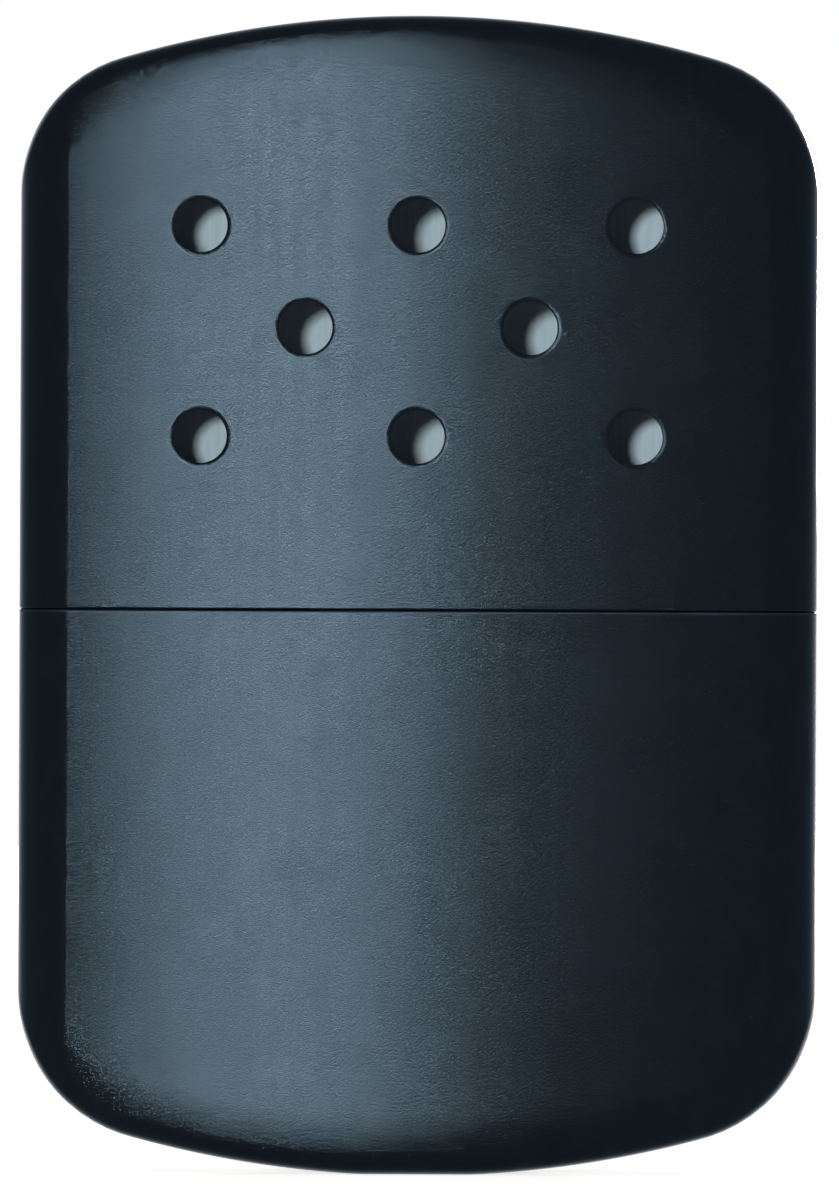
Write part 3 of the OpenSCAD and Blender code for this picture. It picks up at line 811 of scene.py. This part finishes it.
def make_neck():
    low, top, flange, r = neck_low.z, neck_high.z, deck_high.z, NECK_R
    section = [
        (-NECK_WALL + r, low), (-r, low), (0, low + r), (0, flange),
        (FLANGE_W - r, flange), (FLANGE_W, flange + r), (FLANGE_W, flange + FLANGE_H - r),
        (FLANGE_W - r, flange + FLANGE_H), (0, flange + FLANGE_H), (0, top - 2 * r),
        (-LIP_CUT, top - LIP_CUT), (-NECK_WALL / 2, top), (-NECK_WALL + LIP_CUT, top - LIP_CUT),
        (-NECK_WALL, top - 2 * r), (-NECK_WALL, low + r),
    ]
    piece = new_piece("neck", *swept(section, neck_ring), [plating])
    sharpen(piece, 40)
    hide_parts("filler_neck")
    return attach(piece, "tank")


make_neck()
print(f"neck {2 * (NECK_STRAIGHT + NECK_HALF_T):.1f} x {2 * NECK_HALF_T:.1f} mm")

# %% [markdown]
# ## The burner
# The burner is a little sheet metal lantern: a skirt that springs onto the neck, a hood with
# windows, and a cap. Its tube shapes are swept like the neck. The windows, slots and slits are
# punched, so they are cut with a boolean, which suits straight holes in a flat wall, and a narrow
# bevel then takes the razor edge off, as tumbling does.

# %% Helpers for punched holes
PUNCHED_EDGE = 0.05
PUNCH_OVER = 1.0        # a punch reaches this far past the sheet


def settle(piece):
    """Makes the result of the piece's modifiers its own mesh."""
    graph = bpy.context.evaluated_depsgraph_get()
    result = bpy.data.meshes.new_from_object(piece.evaluated_get(graph))
    piece.modifiers.clear()
    piece.data = result


def prism(outline, low, high, axis):
    """A straight prism over a flat outline, along y or z."""
    n = len(outline)
    points = [(u, depth, v) if axis == "y" else (u, v, depth) for depth in (low, high) for u, v in outline]
    sides = [(i, (i + 1) % n, n + (i + 1) % n, n + i) for i in range(n)]
    return points, end_faces(2 * n, n) + sides


def punch(piece, prisms):
    """Cuts the prisms out of the piece and bevels the sharp edges."""
    tool = new_piece("punch", *join(prisms), [])
    cut = piece.modifiers.new("cut", "BOOLEAN")
    cut.operation = "DIFFERENCE"
    cut.solver = "EXACT"
    cut.object = tool
    settle(piece)
    bpy.data.objects.remove(tool)
    bevel = piece.modifiers.new("bevel", "BEVEL")
    bevel.width = PUNCHED_EDGE * MM
    bevel.segments = 2
    bevel.limit_method = "ANGLE"
    bevel.angle_limit = math.radians(50)
    settle(piece)
    sharpen(piece)


# %% Skirt
SKIRT_CLEARANCE = 0.08
SKIRT_GROW = skirt_high.y - NECK_HALF_T
SKIRT_EDGE_R = 0.12
SLIT_W = 0.5
SLIT_H = 3.2
SLIT_R = 0.2


def make_skirt():
    low, high = skirt_low.z, skirt_high.z
    section = strip(SKIRT_CLEARANCE, SKIRT_GROW, low, high, SKIRT_EDGE_R)
    piece = new_piece("skirt", *swept(section, neck_ring), [burner_steel])
    slits = []
    for x in (-NECK_STRAIGHT, NECK_STRAIGHT):
        ends = (x - SLIT_W / 2, x + SLIT_W / 2, low - PUNCH_OVER, low + SLIT_H)
        slits.append(prism(rounded_box(*ends, SLIT_R, SLIT_R), -HALF_T, HALF_T, "y"))
    punch(piece, slits)
    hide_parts("burner_skirt")
    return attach(piece, "burner")


skirt = make_skirt()
print("skirt:", len(skirt.data.polygons), "faces")

# %% Hood and its windows
HOOD_WALL = 0.45
HOOD_GROW = hood_high.y - NECK_HALF_T
HOOD_EDGE_R = 0.2
WINDOW_W = 13.2
WINDOW_R = 0.8
BAR_W = 1.0
BAR_R = 0.15
gauze_low, gauze_high = box_mm("gauze_front")
GAUZE_LAP = (gauze_high.x - gauze_low.x - WINDOW_W) / 2
WINDOW_LOW = gauze_low.z + GAUZE_LAP
WINDOW_HIGH = gauze_high.z - GAUZE_LAP


def pane_outlines():
    """Three panes in a row, with the large radius only at the outer ends."""
    pane_w = (WINDOW_W - 2 * BAR_W) / 3
    panes = []
    for i, left_r, right_r in ((0, WINDOW_R, BAR_R), (1, BAR_R, BAR_R), (2, BAR_R, WINDOW_R)):
        x = -WINDOW_W / 2 + i * (pane_w + BAR_W)
        panes.append(rounded_box(x, x + pane_w, WINDOW_LOW, WINDOW_HIGH, left_r, right_r))
    return panes


def make_hood():
    section = strip(HOOD_GROW - HOOD_WALL, HOOD_GROW, hood_low.z, hood_high.z, HOOD_EDGE_R)
    piece = new_piece("hood", *swept(section, neck_ring), [burner_steel])
    punch(piece, [prism(pane, -HALF_T, HALF_T, "y") for pane in pane_outlines()])
    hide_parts("burner_hood")
    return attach(piece, "burner")


hood = make_hood()
print("hood:", len(hood.data.polygons), "faces, windows", round(WINDOW_LOW, 2), "to", round(WINDOW_HIGH, 2))

# %% [markdown]
# The cap is a shallow pan pressed into the top of the hood, with three slots for the warm air. Its
# flat middle is closed by rings that shrink to a line and one last face, so that the bevel has a
# clean surface to work on.

# %% Cap
CAP_SHEET = 0.4
CAP_EDGE_R = 0.3
CAP_FLAT = -2.6         # the rings of the flat middle stop at this offset from the neck's outline
CAP_SLOT_W = 2.0
CAP_SLOT_L = 4.4
CAP_SLOT_R = 0.999 * CAP_SLOT_W / 2
CAP_SLOT_STEPS = 10
cap_low, cap_high = box_mm("burner_cap")
CAP_GROW = cap_high.y - NECK_HALF_T


def make_cap():
    low, top = cap_low.z, cap_high.z
    inner, under = CAP_GROW - CAP_SHEET, top - CAP_SHEET
    section = [(CAP_FLAT, under), (inner, under), (inner, low), (CAP_GROW, low)]
    section += arc(CAP_GROW - CAP_EDGE_R, top - CAP_EDGE_R, CAP_EDGE_R, 0, 90, PAN_STEPS)
    section.append((CAP_FLAT, top))
    points, _ = swept(section, neck_ring)
    ring_size = len(points) // len(section)
    faces = ring_faces(len(section), ring_size, closed_run=False) + end_faces(len(points), ring_size)
    piece = new_piece("cap", points, faces, [burner_steel])
    slots = []
    for x in (i * (CAP_SLOT_L + CAP_SLOT_W) for i in (-1, 0, 1)):
        ends = (x - CAP_SLOT_L / 2, x + CAP_SLOT_L / 2, -CAP_SLOT_W / 2, CAP_SLOT_W / 2)
        outline = rounded_box(*ends, CAP_SLOT_R, CAP_SLOT_R, CAP_SLOT_STEPS)
        slots.append(prism(outline, low - PUNCH_OVER, top + PUNCH_OVER, "z"))
    punch(piece, slots)
    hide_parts("burner_cap")
    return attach(piece, "burner")


cap = make_cap()
print("cap:", len(cap.data.polygons), "faces")

# %% [markdown]
# ### Rivets
# Four rivets hold the hood to the skirt. A rivet is round, so it is turned: a half outline spun
# about its own axis. The outer heads are domed and the inner ones are flatter, where the shank was
# spread.

# %% Turned rivets
RIVET_X = 6.5
RIVET_SIDES = 24
rivet_low, rivet_high = box_mm("burner_rivets")
RIVET_Z = (rivet_low.z + rivet_high.z) / 2
SHANK_R = 0.4
HEAD_R = 0.75
HEAD_H = 0.3
HEAD_RIM = 0.05         # the domed head's straight rim
INNER_RIM = 0.1         # and the flatter inner head's
INNER_FLAT_R = 0.85 * HEAD_R
HEAD_STEPS = 6


def make_rivets():
    inner_y = skirt_high.y - SKIRT_GROW + SKIRT_CLEARANCE
    outer_y, rim_y = hood_high.y, hood_high.y + HEAD_RIM
    profile = [(0.0, inner_y - HEAD_H), (INNER_FLAT_R, inner_y - HEAD_H), (HEAD_R, inner_y - INNER_RIM)]
    profile += [(HEAD_R, inner_y), (SHANK_R, inner_y), (SHANK_R, outer_y)]
    profile += [(HEAD_R, outer_y), (HEAD_R, rim_y)]
    for i in range(1, HEAD_STEPS + 1):
        turn = math.radians(90 * i / HEAD_STEPS)
        profile.append((HEAD_R * math.cos(turn), rim_y + (HEAD_H - HEAD_RIM) * math.sin(turn)))
    forms = []
    for x in (-RIVET_X, RIVET_X):
        for side in (-1, 1):
            points = []
            for radius, y in profile:
                points += [(px, side * y, pz) for px, pz in circle(x, RIVET_Z, radius, RIVET_SIDES)]
            forms.append((points, ring_faces(len(profile), RIVET_SIDES, closed_run=False)))
    piece = new_piece("rivets", *join(forms), [rivet_steel])
    sharpen(piece, 40)
    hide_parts("burner_rivets")
    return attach(piece, "burner")


rivets = make_rivets()
print("rivets reach y =", round(max(v.co.y for v in rivets.data.vertices) / MM, 2), "mm")

# %% [markdown]
# ### Woven gauze
# The window gauze is plain weave: each wire goes over one and under the next. One wire is a sine
# wave with half a period at each crossing, and every second wire is the same wave shifted by half.
# The wires are real geometry, because the windows are looked through from close by, where a bumped
# flat sheet would show itself at once.

# %% Wires as tubes
WIRE_R = 0.07
WEAVE_PITCH = 0.55
WIRE_SIDES = 6
STEPS_A_CROSSING = 4
OFF_AXIS = Vector((0.31, 0.9, 0.3))     # no wire or strand runs along this direction


def tube(path, radius, sides):
    """A round tube along a path of points, closed at its ends."""
    points = []
    for i, here in enumerate(path):
        ahead = (path[min(i + 1, len(path) - 1)] - path[max(i - 1, 0)]).normalized()
        side = ahead.cross(OFF_AXIS).normalized()
        up = side.cross(ahead)
        for j in range(sides):
            turn = 2 * math.pi * j / sides
            points.append(here + radius * (side * math.cos(turn) + up * math.sin(turn)))
    return points, ring_faces(len(path), sides, closed_run=False) + end_faces(len(points), sides)


def weave(low, high):
    """Two sets of crossing wires inside a flat box, waving in y."""
    mid_y = (low.y + high.y) / 2
    wave = (high.y - low.y) / 2 - WIRE_R
    counts = [int((high[a] - low[a] - 2 * WIRE_R) / WEAVE_PITCH) for a in (0, 2)]
    starts = [(low[a] + high[a] - n * WEAVE_PITCH) / 2 for a, n in zip((0, 2), counts)]
    wires = []
    for along, across in ((0, 1), (1, 0)):
        for k in range(counts[across] + 1):
            fixed = starts[across] + k * WEAVE_PITCH
            path = []
            for i in range(counts[along] * STEPS_A_CROSSING + 1):
                moved = starts[along] + i * WEAVE_PITCH / STEPS_A_CROSSING
                lift = wave * math.cos(math.pi * (i / STEPS_A_CROSSING + k + along))
                x, z = (moved, fixed) if along == 0 else (fixed, moved)
                path.append(Vector((x, mid_y + lift, z)))
            wires.append(tube(path, WIRE_R, WIRE_SIDES))
    return join(wires)


# %% Gauze front and back
EDGING_W = 0.5          # folded strip round the gauze
EDGING_R = 0.1          # rounding of the strip
EDGING_CORNER_R = 0.3


def make_gauze(name, node):
    low, high = box_mm(node)
    near, far, r = low.y + EDGING_R, high.y - EDGING_R, EDGING_R
    section = [(0, near), (0, far), (r, high.y), (EDGING_W - r, high.y)]
    section += [(EDGING_W, far), (EDGING_W, near), (EDGING_W - r, low.y), (r, low.y)]
    rings = []
    for inset, y in section:
        ends = (low.x + inset, high.x - inset, low.z + inset, high.z - inset)
        rings.append([(x, y, z) for x, z in rounded_box(*ends, EDGING_CORNER_R, EDGING_CORNER_R, 4)])
    edging = sum(rings, []), ring_faces(len(rings), len(rings[0]))
    piece = new_piece(name, *join([weave(low, high), edging]), [wire_finish])
    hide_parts(node)
    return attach(piece, "burner")


front_gauze = make_gauze("front_gauze", "gauze_front")
make_gauze("back_gauze", "gauze_back")
print("gauze:", len(front_gauze.data.vertices), "points each")

# %% [markdown]
# ### Catalyst mat
# The mat is a strip of glass fibre folded over its carrier like a blanket over a line. A hair system
# would give its fuzz, but an export loses hair, so the strands are thin three-sided tubes, laid over
# the fold at chance angles from a seeded generator. Seeding makes every run lay them the same.

# %% Strands
STRAND_STEPS = 4


def strands(count, seed, pick, length, radius, reach):
    """Short bent fibres. pick(rng) gives a place, a direction and the surface's normal there."""
    rng = random.Random(seed)
    fibres = []
    for _ in range(count):
        place, ahead, out = pick(rng)
        long = length * rng.uniform(0.6, 1.3)
        sway = rng.uniform(-0.5, 0.5)
        side = out.cross(ahead)
        path = []
        for t in (i / STRAND_STEPS - 0.5 for i in range(STRAND_STEPS + 1)):
            bow = reach * (0.25 - t * t) * 4 * rng.uniform(0.6, 1.0)
            path.append(place + ahead * (long * t) + side * (sway * long * t * t) + out * bow)
        fibres.append(tube(path, radius, 3))
    return join(fibres)


# %% Mat folded over its carrier
mat_low, mat_high = box_mm("catalyst_mat")
MAT_THICK = 1.5
MAT_LENGTH_STEPS = 56
MAT_TURN_STEPS = 18
MAT_LEG_STEPS = 8
MAT_DENT = 0.1
MAT_LUMPS = 1.4         # dents in a millimetre
MAT_FUZZ = 0.12         # room that the fuzz takes up over the mat
FUZZ_COUNT = 520
FUZZ_SEED = 7
FUZZ_LENGTH = 1.1
FUZZ_R = 0.022
FUZZ_BOW = 0.6 * MAT_FUZZ
FUZZ_SLANT = 0.9        # greatest angle to the mat's length, in radians
FUZZ_MARGIN = 1.0       # none starts nearer to the mat's ends than this
ALONG = Vector((1, 0, 0))


def fold_profile(half, top, low):
    """The fold from one foot over the top to the other, as (y, z) with its normal."""
    centre = top - half
    leg = [low + (centre - low) * i / MAT_LEG_STEPS for i in range(MAT_LEG_STEPS)]
    profile = [(-half, z, -1.0, 0.0) for z in leg]
    for i in range(MAT_TURN_STEPS + 1):
        turn = math.pi - math.pi * i / MAT_TURN_STEPS
        ny, nz = math.cos(turn), math.sin(turn)
        profile.append((half * ny, centre + half * nz, ny, nz))
    return profile + [(half, z, 1.0, 0.0) for z in reversed(leg)]


def make_mat():
    low = mat_low.z
    outer = fold_profile(mat_high.y - MAT_FUZZ, mat_high.z - MAT_FUZZ, low)
    inner = fold_profile(mat_high.y - MAT_THICK, mat_high.z - MAT_THICK, low)[::-1]
    loop = [(*side, MAT_DENT) for side in outer] + [(y, z, -ny, -nz, 0.0) for y, z, ny, nz in inner]
    points = []
    for i in range(MAT_LENGTH_STEPS + 1):
        x = mat_low.x + (mat_high.x - mat_low.x) * i / MAT_LENGTH_STEPS
        for y, z, ny, nz, depth in loop:
            dent = depth * (0.5 + 0.5 * noise.noise(Vector((x, y, z)) * MAT_LUMPS))
            points.append((x, y - ny * dent, z - nz * dent))
    n = len(loop)
    faces = ring_faces(MAT_LENGTH_STEPS + 1, n, closed_run=False) + end_faces(len(points), n)

    def pick(rng):
        y, z, ny, nz = outer[rng.randrange(2, len(outer) - 2)]
        turn = rng.uniform(-FUZZ_SLANT, FUZZ_SLANT)
        out = Vector((0, ny, nz))
        ahead = ALONG * math.cos(turn) + out.cross(ALONG) * math.sin(turn)
        x = rng.uniform(mat_low.x + FUZZ_MARGIN, mat_high.x - FUZZ_MARGIN)
        return Vector((x, y, z)), ahead, out

    fuzz = strands(FUZZ_COUNT, FUZZ_SEED, pick, FUZZ_LENGTH, FUZZ_R, FUZZ_BOW)
    piece = new_piece("mat", *join([(points, faces), fuzz]), [glass_fibre], weld=0.0001)
    sharpen(piece, 60)
    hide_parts("catalyst_mat")
    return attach(piece, "burner")


mat = make_mat()
print("mat:", len(mat.data.vertices), "points")

# %% [markdown]
# ## Cotton
# The tank is packed with cotton, which holds the fuel by its fibres. Each wad is one closed form of
# rings with soft shoulders. Noise pushes its surface in here and there, never out, so a wad always
# stays inside the space that the tank gives it.

# %% Wads from rings
COTTON_INSET = 1.85
PAD_STEPS = 10
SHOULDER = 2.0
SHOULDER_STEPS = 6
LUMP_SIZE = 5.0         # width of a lump
PILL_SIZE = 1 / 1.3     # and of the small pills on it
MIDDLE = 0.02           # the flat ends shrink to this share of their width
FLAT_STEPS = 6


def wad(name, node, rings, caps, lump_mm, seed):
    """A closed puffy form from equal rings, dented by noise, for one cotton node."""
    size = len(rings[0])
    points = sum(rings, [])
    faces = ring_faces(len(rings), size, closed_run=False)
    if caps:
        faces += end_faces(len(points), size)
    piece = new_piece(name, points, faces, [cotton])
    shift = Vector((seed, 2 * seed, 3 * seed))
    moved = []
    for vertex in piece.data.vertices:
        place = vertex.co / MM
        lump = 0.5 + 0.5 * noise.fractal(place / LUMP_SIZE + shift, 0.9, 2.0, 3)
        pill = 0.5 + 0.5 * noise.noise(place / PILL_SIZE + shift)
        depth = lump_mm * min(1, max(0, 0.75 * lump + 0.25 * pill))
        moved.append(vertex.co - vertex.normal * depth * MM)
    for vertex, place in zip(piece.data.vertices, moved):
        vertex.co = place
    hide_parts(node)
    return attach(piece, "tank")


def level(outline, z):
    """A flat outline as a ring at one height."""
    return [(x, y, z) for x, y in outline]


def pad_side(low, high):
    """Rings up the side of a pad, soft at both shoulders, from its flat underside to its top."""
    tall = high - low - 2 * SHOULDER
    rings = arc(SHOULDER, low + SHOULDER, SHOULDER, 270, 180, SHOULDER_STEPS)[1:]
    rings += [(0.0, low + SHOULDER + tall * i / PAD_STEPS) for i in range(1, PAD_STEPS)]
    rings += arc(SHOULDER, high - SHOULDER, SHOULDER, 180, 90, SHOULDER_STEPS)[:-1]
    return [level(oval_ring(COTTON_INSET + off), z) for off, z in rings]


def flat_rings(outline, z, first, last, steps=FLAT_STEPS):
    """Rings that shrink the outline towards the middle line, at one height."""
    rings = []
    for keep in (first + (last - first) * i / steps for i in range(steps + 1)):
        rings.append([(x * (0.25 + 0.75 * keep), y * keep, z) for x, y in outline])
    return rings


# %% Bottom and middle wads
def make_bottom_wad():
    low, high = box_mm("cotton_bottom")
    cup = dict(TANK_CUP, h=high.z)
    front = [climb(a, low.z, cup, 0.0) for a in half_angles(SIDE_HOOPS, FACE_HOOPS)]
    rings = []
    for upper in zip(*front):
        ring = [(x, y, high.z - z) for x, y, z in upper]
        rings.append(ring + [(x, -y, z) for x, y, z in reversed(ring[1:-1])])
    mouth = [(x, y) for x, y, _ in rings[0]]
    top = flat_rings(mouth, high.z, MIDDLE, 1 - MIDDLE, 7)
    return wad("bottom_wad", "cotton_bottom", top + rings, caps=False, lump_mm=0.5, seed=3)


def make_middle_wad():
    low, high = box_mm("cotton_middle")
    guide = oval_ring(COTTON_INSET + SHOULDER)
    rings = flat_rings(guide, low.z, MIDDLE, 1.0) + pad_side(low.z, high.z)
    rings += flat_rings(guide, high.z, 1.0, MIDDLE)
    return wad("middle_wad", "cotton_middle", rings, caps=True, lump_mm=0.6, seed=11)


# %% Top wad with its hollow, and the tuft in the neck
HOLLOW_LIP = 0.5        # rounding of the hollow's mouth
HOLLOW_BELOW = 0.3      # room between the hollow's floor and the tuft
TUFT_FOOT_R = 1.0
TUFT_CROWN_W = 1.6
TUFT_CROWN_H = 1.2
CROWN_STEPS = 7


def make_top_wad():
    low, high = box_mm("cotton_top")
    guide = oval_ring(COTTON_INSET + SHOULDER)
    hollow = [neck_ray(x, y, -NECK_WALL) for x, y in guide]
    edge = [neck_ray(x, y, -NECK_WALL + HOLLOW_LIP) for x, y in guide]
    floor_z = box_mm("cotton_tuft")[0].z - HOLLOW_BELOW
    rings = flat_rings(guide, low.z, MIDDLE, 1.0) + pad_side(low.z, high.z)
    rings += [level(edge, high.z), level(hollow, high.z - HOLLOW_LIP), level(hollow, floor_z)]
    rings += flat_rings(hollow, floor_z, 0.9, MIDDLE, 3)
    return wad("top_wad", "cotton_top", rings, caps=True, lump_mm=0.25, seed=19)


def make_tuft():
    low, high = box_mm("cotton_tuft")
    grow = high.y - NECK_HALF_T
    tall = high.z - low.z - TUFT_FOOT_R - TUFT_CROWN_H
    rings = arc(TUFT_FOOT_R, low.z + TUFT_FOOT_R, TUFT_FOOT_R, 270, 180, SHOULDER_STEPS)[1:]
    rings += [(0.0, low.z + TUFT_FOOT_R + tall * i / 6) for i in range(1, 6)]
    for turn in (math.radians(90 * i / CROWN_STEPS) for i in range(CROWN_STEPS)):
        rings.append((TUFT_CROWN_W * (1 - math.cos(turn)), high.z - TUFT_CROWN_H * (1 - math.sin(turn))))
    loops = [level(neck_ring(grow - off), z) for off, z in rings]
    foot = flat_rings(neck_ring(grow - TUFT_FOOT_R), low.z, 0.05, 1.0, 3)
    crown = flat_rings(neck_ring(grow - TUFT_CROWN_W), high.z, 1.0, 0.05, 4)
    return wad("tuft", "cotton_tuft", foot + loops + crown, caps=True, lump_mm=0.3, seed=23)


wads = [make_bottom_wad(), make_middle_wad(), make_top_wad(), make_tuft()]
print("cotton:", [w.name for w in wads])

# %% [markdown]
# ## What stays as built
# Two small pressings are right as they came: the plate that lets the vapour up, and the perforated
# carrier inside the mat. They only need the burner's steel.

# %% Finish the carried-over pieces
for node in ("vapour_plate", "mat_carrier"):
    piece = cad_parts[node]
    piece.data.materials.clear()
    piece.data.materials.append(burner_steel)
print("carried over: vapour_plate, mat_carrier")

# %% [markdown]
# ## Floor and surroundings
# The object stands alone on white. A white floor under a bright lamp would do it, but that also
# lights the object from below. So the floor and the world are white only to rays that come straight
# from the camera or from a mirror-like bounce, and dim to all others, which leaves the lamps to
# light the object. The floor is plain white paint with a glow added for those direct rays. Open
# floor is then just past white, and where the object keeps the lamps off, a soft shadow stays.

# %% Stage
FLOOR_SIZE = 3.0        # in metres
FLOOR_PAINT = 0.8
FLOOR_GLOW = 0.78       # added for direct rays, so that open floor is white and a shadow stays
AMBIENT = 0.25


def seen_directly(tree):
    """1 for camera, glossy and transmission rays, and 0 for all others."""
    rays = add_node(tree, "ShaderNodeLightPath").outputs
    straight = maths(tree, "MAXIMUM", rays["Is Camera Ray"], rays["Is Glossy Ray"])
    return maths(tree, "MAXIMUM", straight, rays["Is Transmission Ray"])


def make_floor():
    finish, shader = new_finish("floor", (FLOOR_PAINT,) * 3, 0.0, 1.0, Specular_IOR_Level=0.0)
    tree = finish.node_tree
    strength = maths(tree, "MULTIPLY", seen_directly(tree), FLOOR_GLOW)
    glow = add_node(tree, "ShaderNodeEmission", {"Strength": strength})
    layers = {0: shader.outputs["BSDF"], 1: glow.outputs["Emission"]}
    both = add_node(tree, "ShaderNodeAddShader", layers)
    plug(tree.nodes["Material Output"], {"Surface": both.outputs["Shader"]})
    half = FLOOR_SIZE / 2 / MM
    corners = [(-half, -half, 0), (half, -half, 0), (half, half, 0), (-half, half, 0)]
    new_piece("floor", corners, [(0, 1, 2, 3)], [finish])


def make_world():
    world = bpy.data.worlds.new("studio")
    bpy.context.scene.world = world
    world.use_nodes = True
    tree = world.node_tree
    strength = spread(tree, seen_directly(tree), AMBIENT, 1.0, 0.0, 1.0)
    plug(tree.nodes["Background"], {"Color": (1, 1, 1, 1), "Strength": strength})


make_floor()
make_world()
print("stage set, ambient", AMBIENT)

# %% [markdown]
# ## Lamps
# The reflection on the face tells where the lamp was. The face is a wide cylinder, so its normal
# turns only ten degrees from the middle to where the side radius starts, and the bright band lies a
# little left of the middle: the lamp stood nearly nine degrees to the left of the camera. The spots
# that it throws through the vents onto the inside of the back wall lie low and right, which puts it
# a little above the camera too. They have crisp edges, so the lamp is small for its distance. Its
# light is slightly warm, which takes the excess blue out of the coat's highlight. A second lamp of
# the same kind stands straight across, so that the back can be looked at too. The case hides it
# from everything that the camera sees in front.

# %% Two lamps
VIEW_CENTRE = Vector((0.13, 0.0, 49.09)) * MM
LAMP_LEFT = math.radians(8.7)
LAMP_UP = math.radians(4.0)
LAMP_DISTANCE = 1.5
LAMP_SIZE = 0.13
LAMP_POWER = 22.0
LAMP_COLOR = (1.0, 0.98, 0.87)


def make_lamp(name, left):
    """A disk lamp that faces the object, turned from straight in front by an angle to the left."""
    light = bpy.data.lights.new(name, "AREA")
    light.shape = "DISK"
    light.size = LAMP_SIZE
    light.energy = LAMP_POWER
    light.color = LAMP_COLOR
    lamp = bpy.data.objects.new(name, light)
    bpy.context.scene.collection.objects.link(lamp)
    level_part = math.cos(LAMP_UP)
    towards = Vector((-math.sin(left) * level_part, -math.cos(left) * level_part, math.sin(LAMP_UP)))
    lamp.location = VIEW_CENTRE + LAMP_DISTANCE * towards
    lamp.rotation_euler = (-towards).to_track_quat("-Z", "Y").to_euler()


make_lamp("key", LAMP_LEFT)
make_lamp("back", LAMP_LEFT + math.pi)
print(f"key lamp {math.degrees(LAMP_LEFT):.1f} degrees left, {math.degrees(LAMP_UP):.1f} up")

# %% [markdown]
# ## Camera
# Both ends of the case show their outlines without any top or underside, so the camera looked at it
# level and from far away through a long lens. The distance follows from the lens: at that distance
# the picture's height covers the height of frame that was measured on the object. The case leans a
# quarter of a degree to the right in the picture, so the camera is rolled by as much. The vents sit
# a hair left of the outline's middle, which puts the camera a little to the right.

# %% Camera
LENS = 400.0
SENSOR = 36.0
FRAME_HEIGHT = 102.96
RIGHT = math.radians(0.75)
ROLL = math.radians(0.25)


def make_camera():
    data = bpy.data.cameras.new("camera")
    data.lens = LENS
    data.sensor_fit = "VERTICAL"
    data.sensor_height = SENSOR
    data.clip_start = 0.01
    data.clip_end = 20
    camera = bpy.data.objects.new("camera", data)
    bpy.context.scene.collection.objects.link(camera)
    distance = LENS / SENSOR * FRAME_HEIGHT * MM
    aim = Matrix.Rotation(RIGHT, 4, "Z") @ Matrix.Rotation(math.radians(90), 4, "X")
    aim = aim @ Matrix.Rotation(ROLL, 4, "Z")
    camera.matrix_world = Matrix.Translation(VIEW_CENTRE) @ aim @ Matrix.Translation((0, 0, distance))
    bpy.context.scene.camera = camera
    return distance


bpy.context.scene.view_settings.view_transform = "Standard"
print(f"camera {make_camera():.3f} m away")
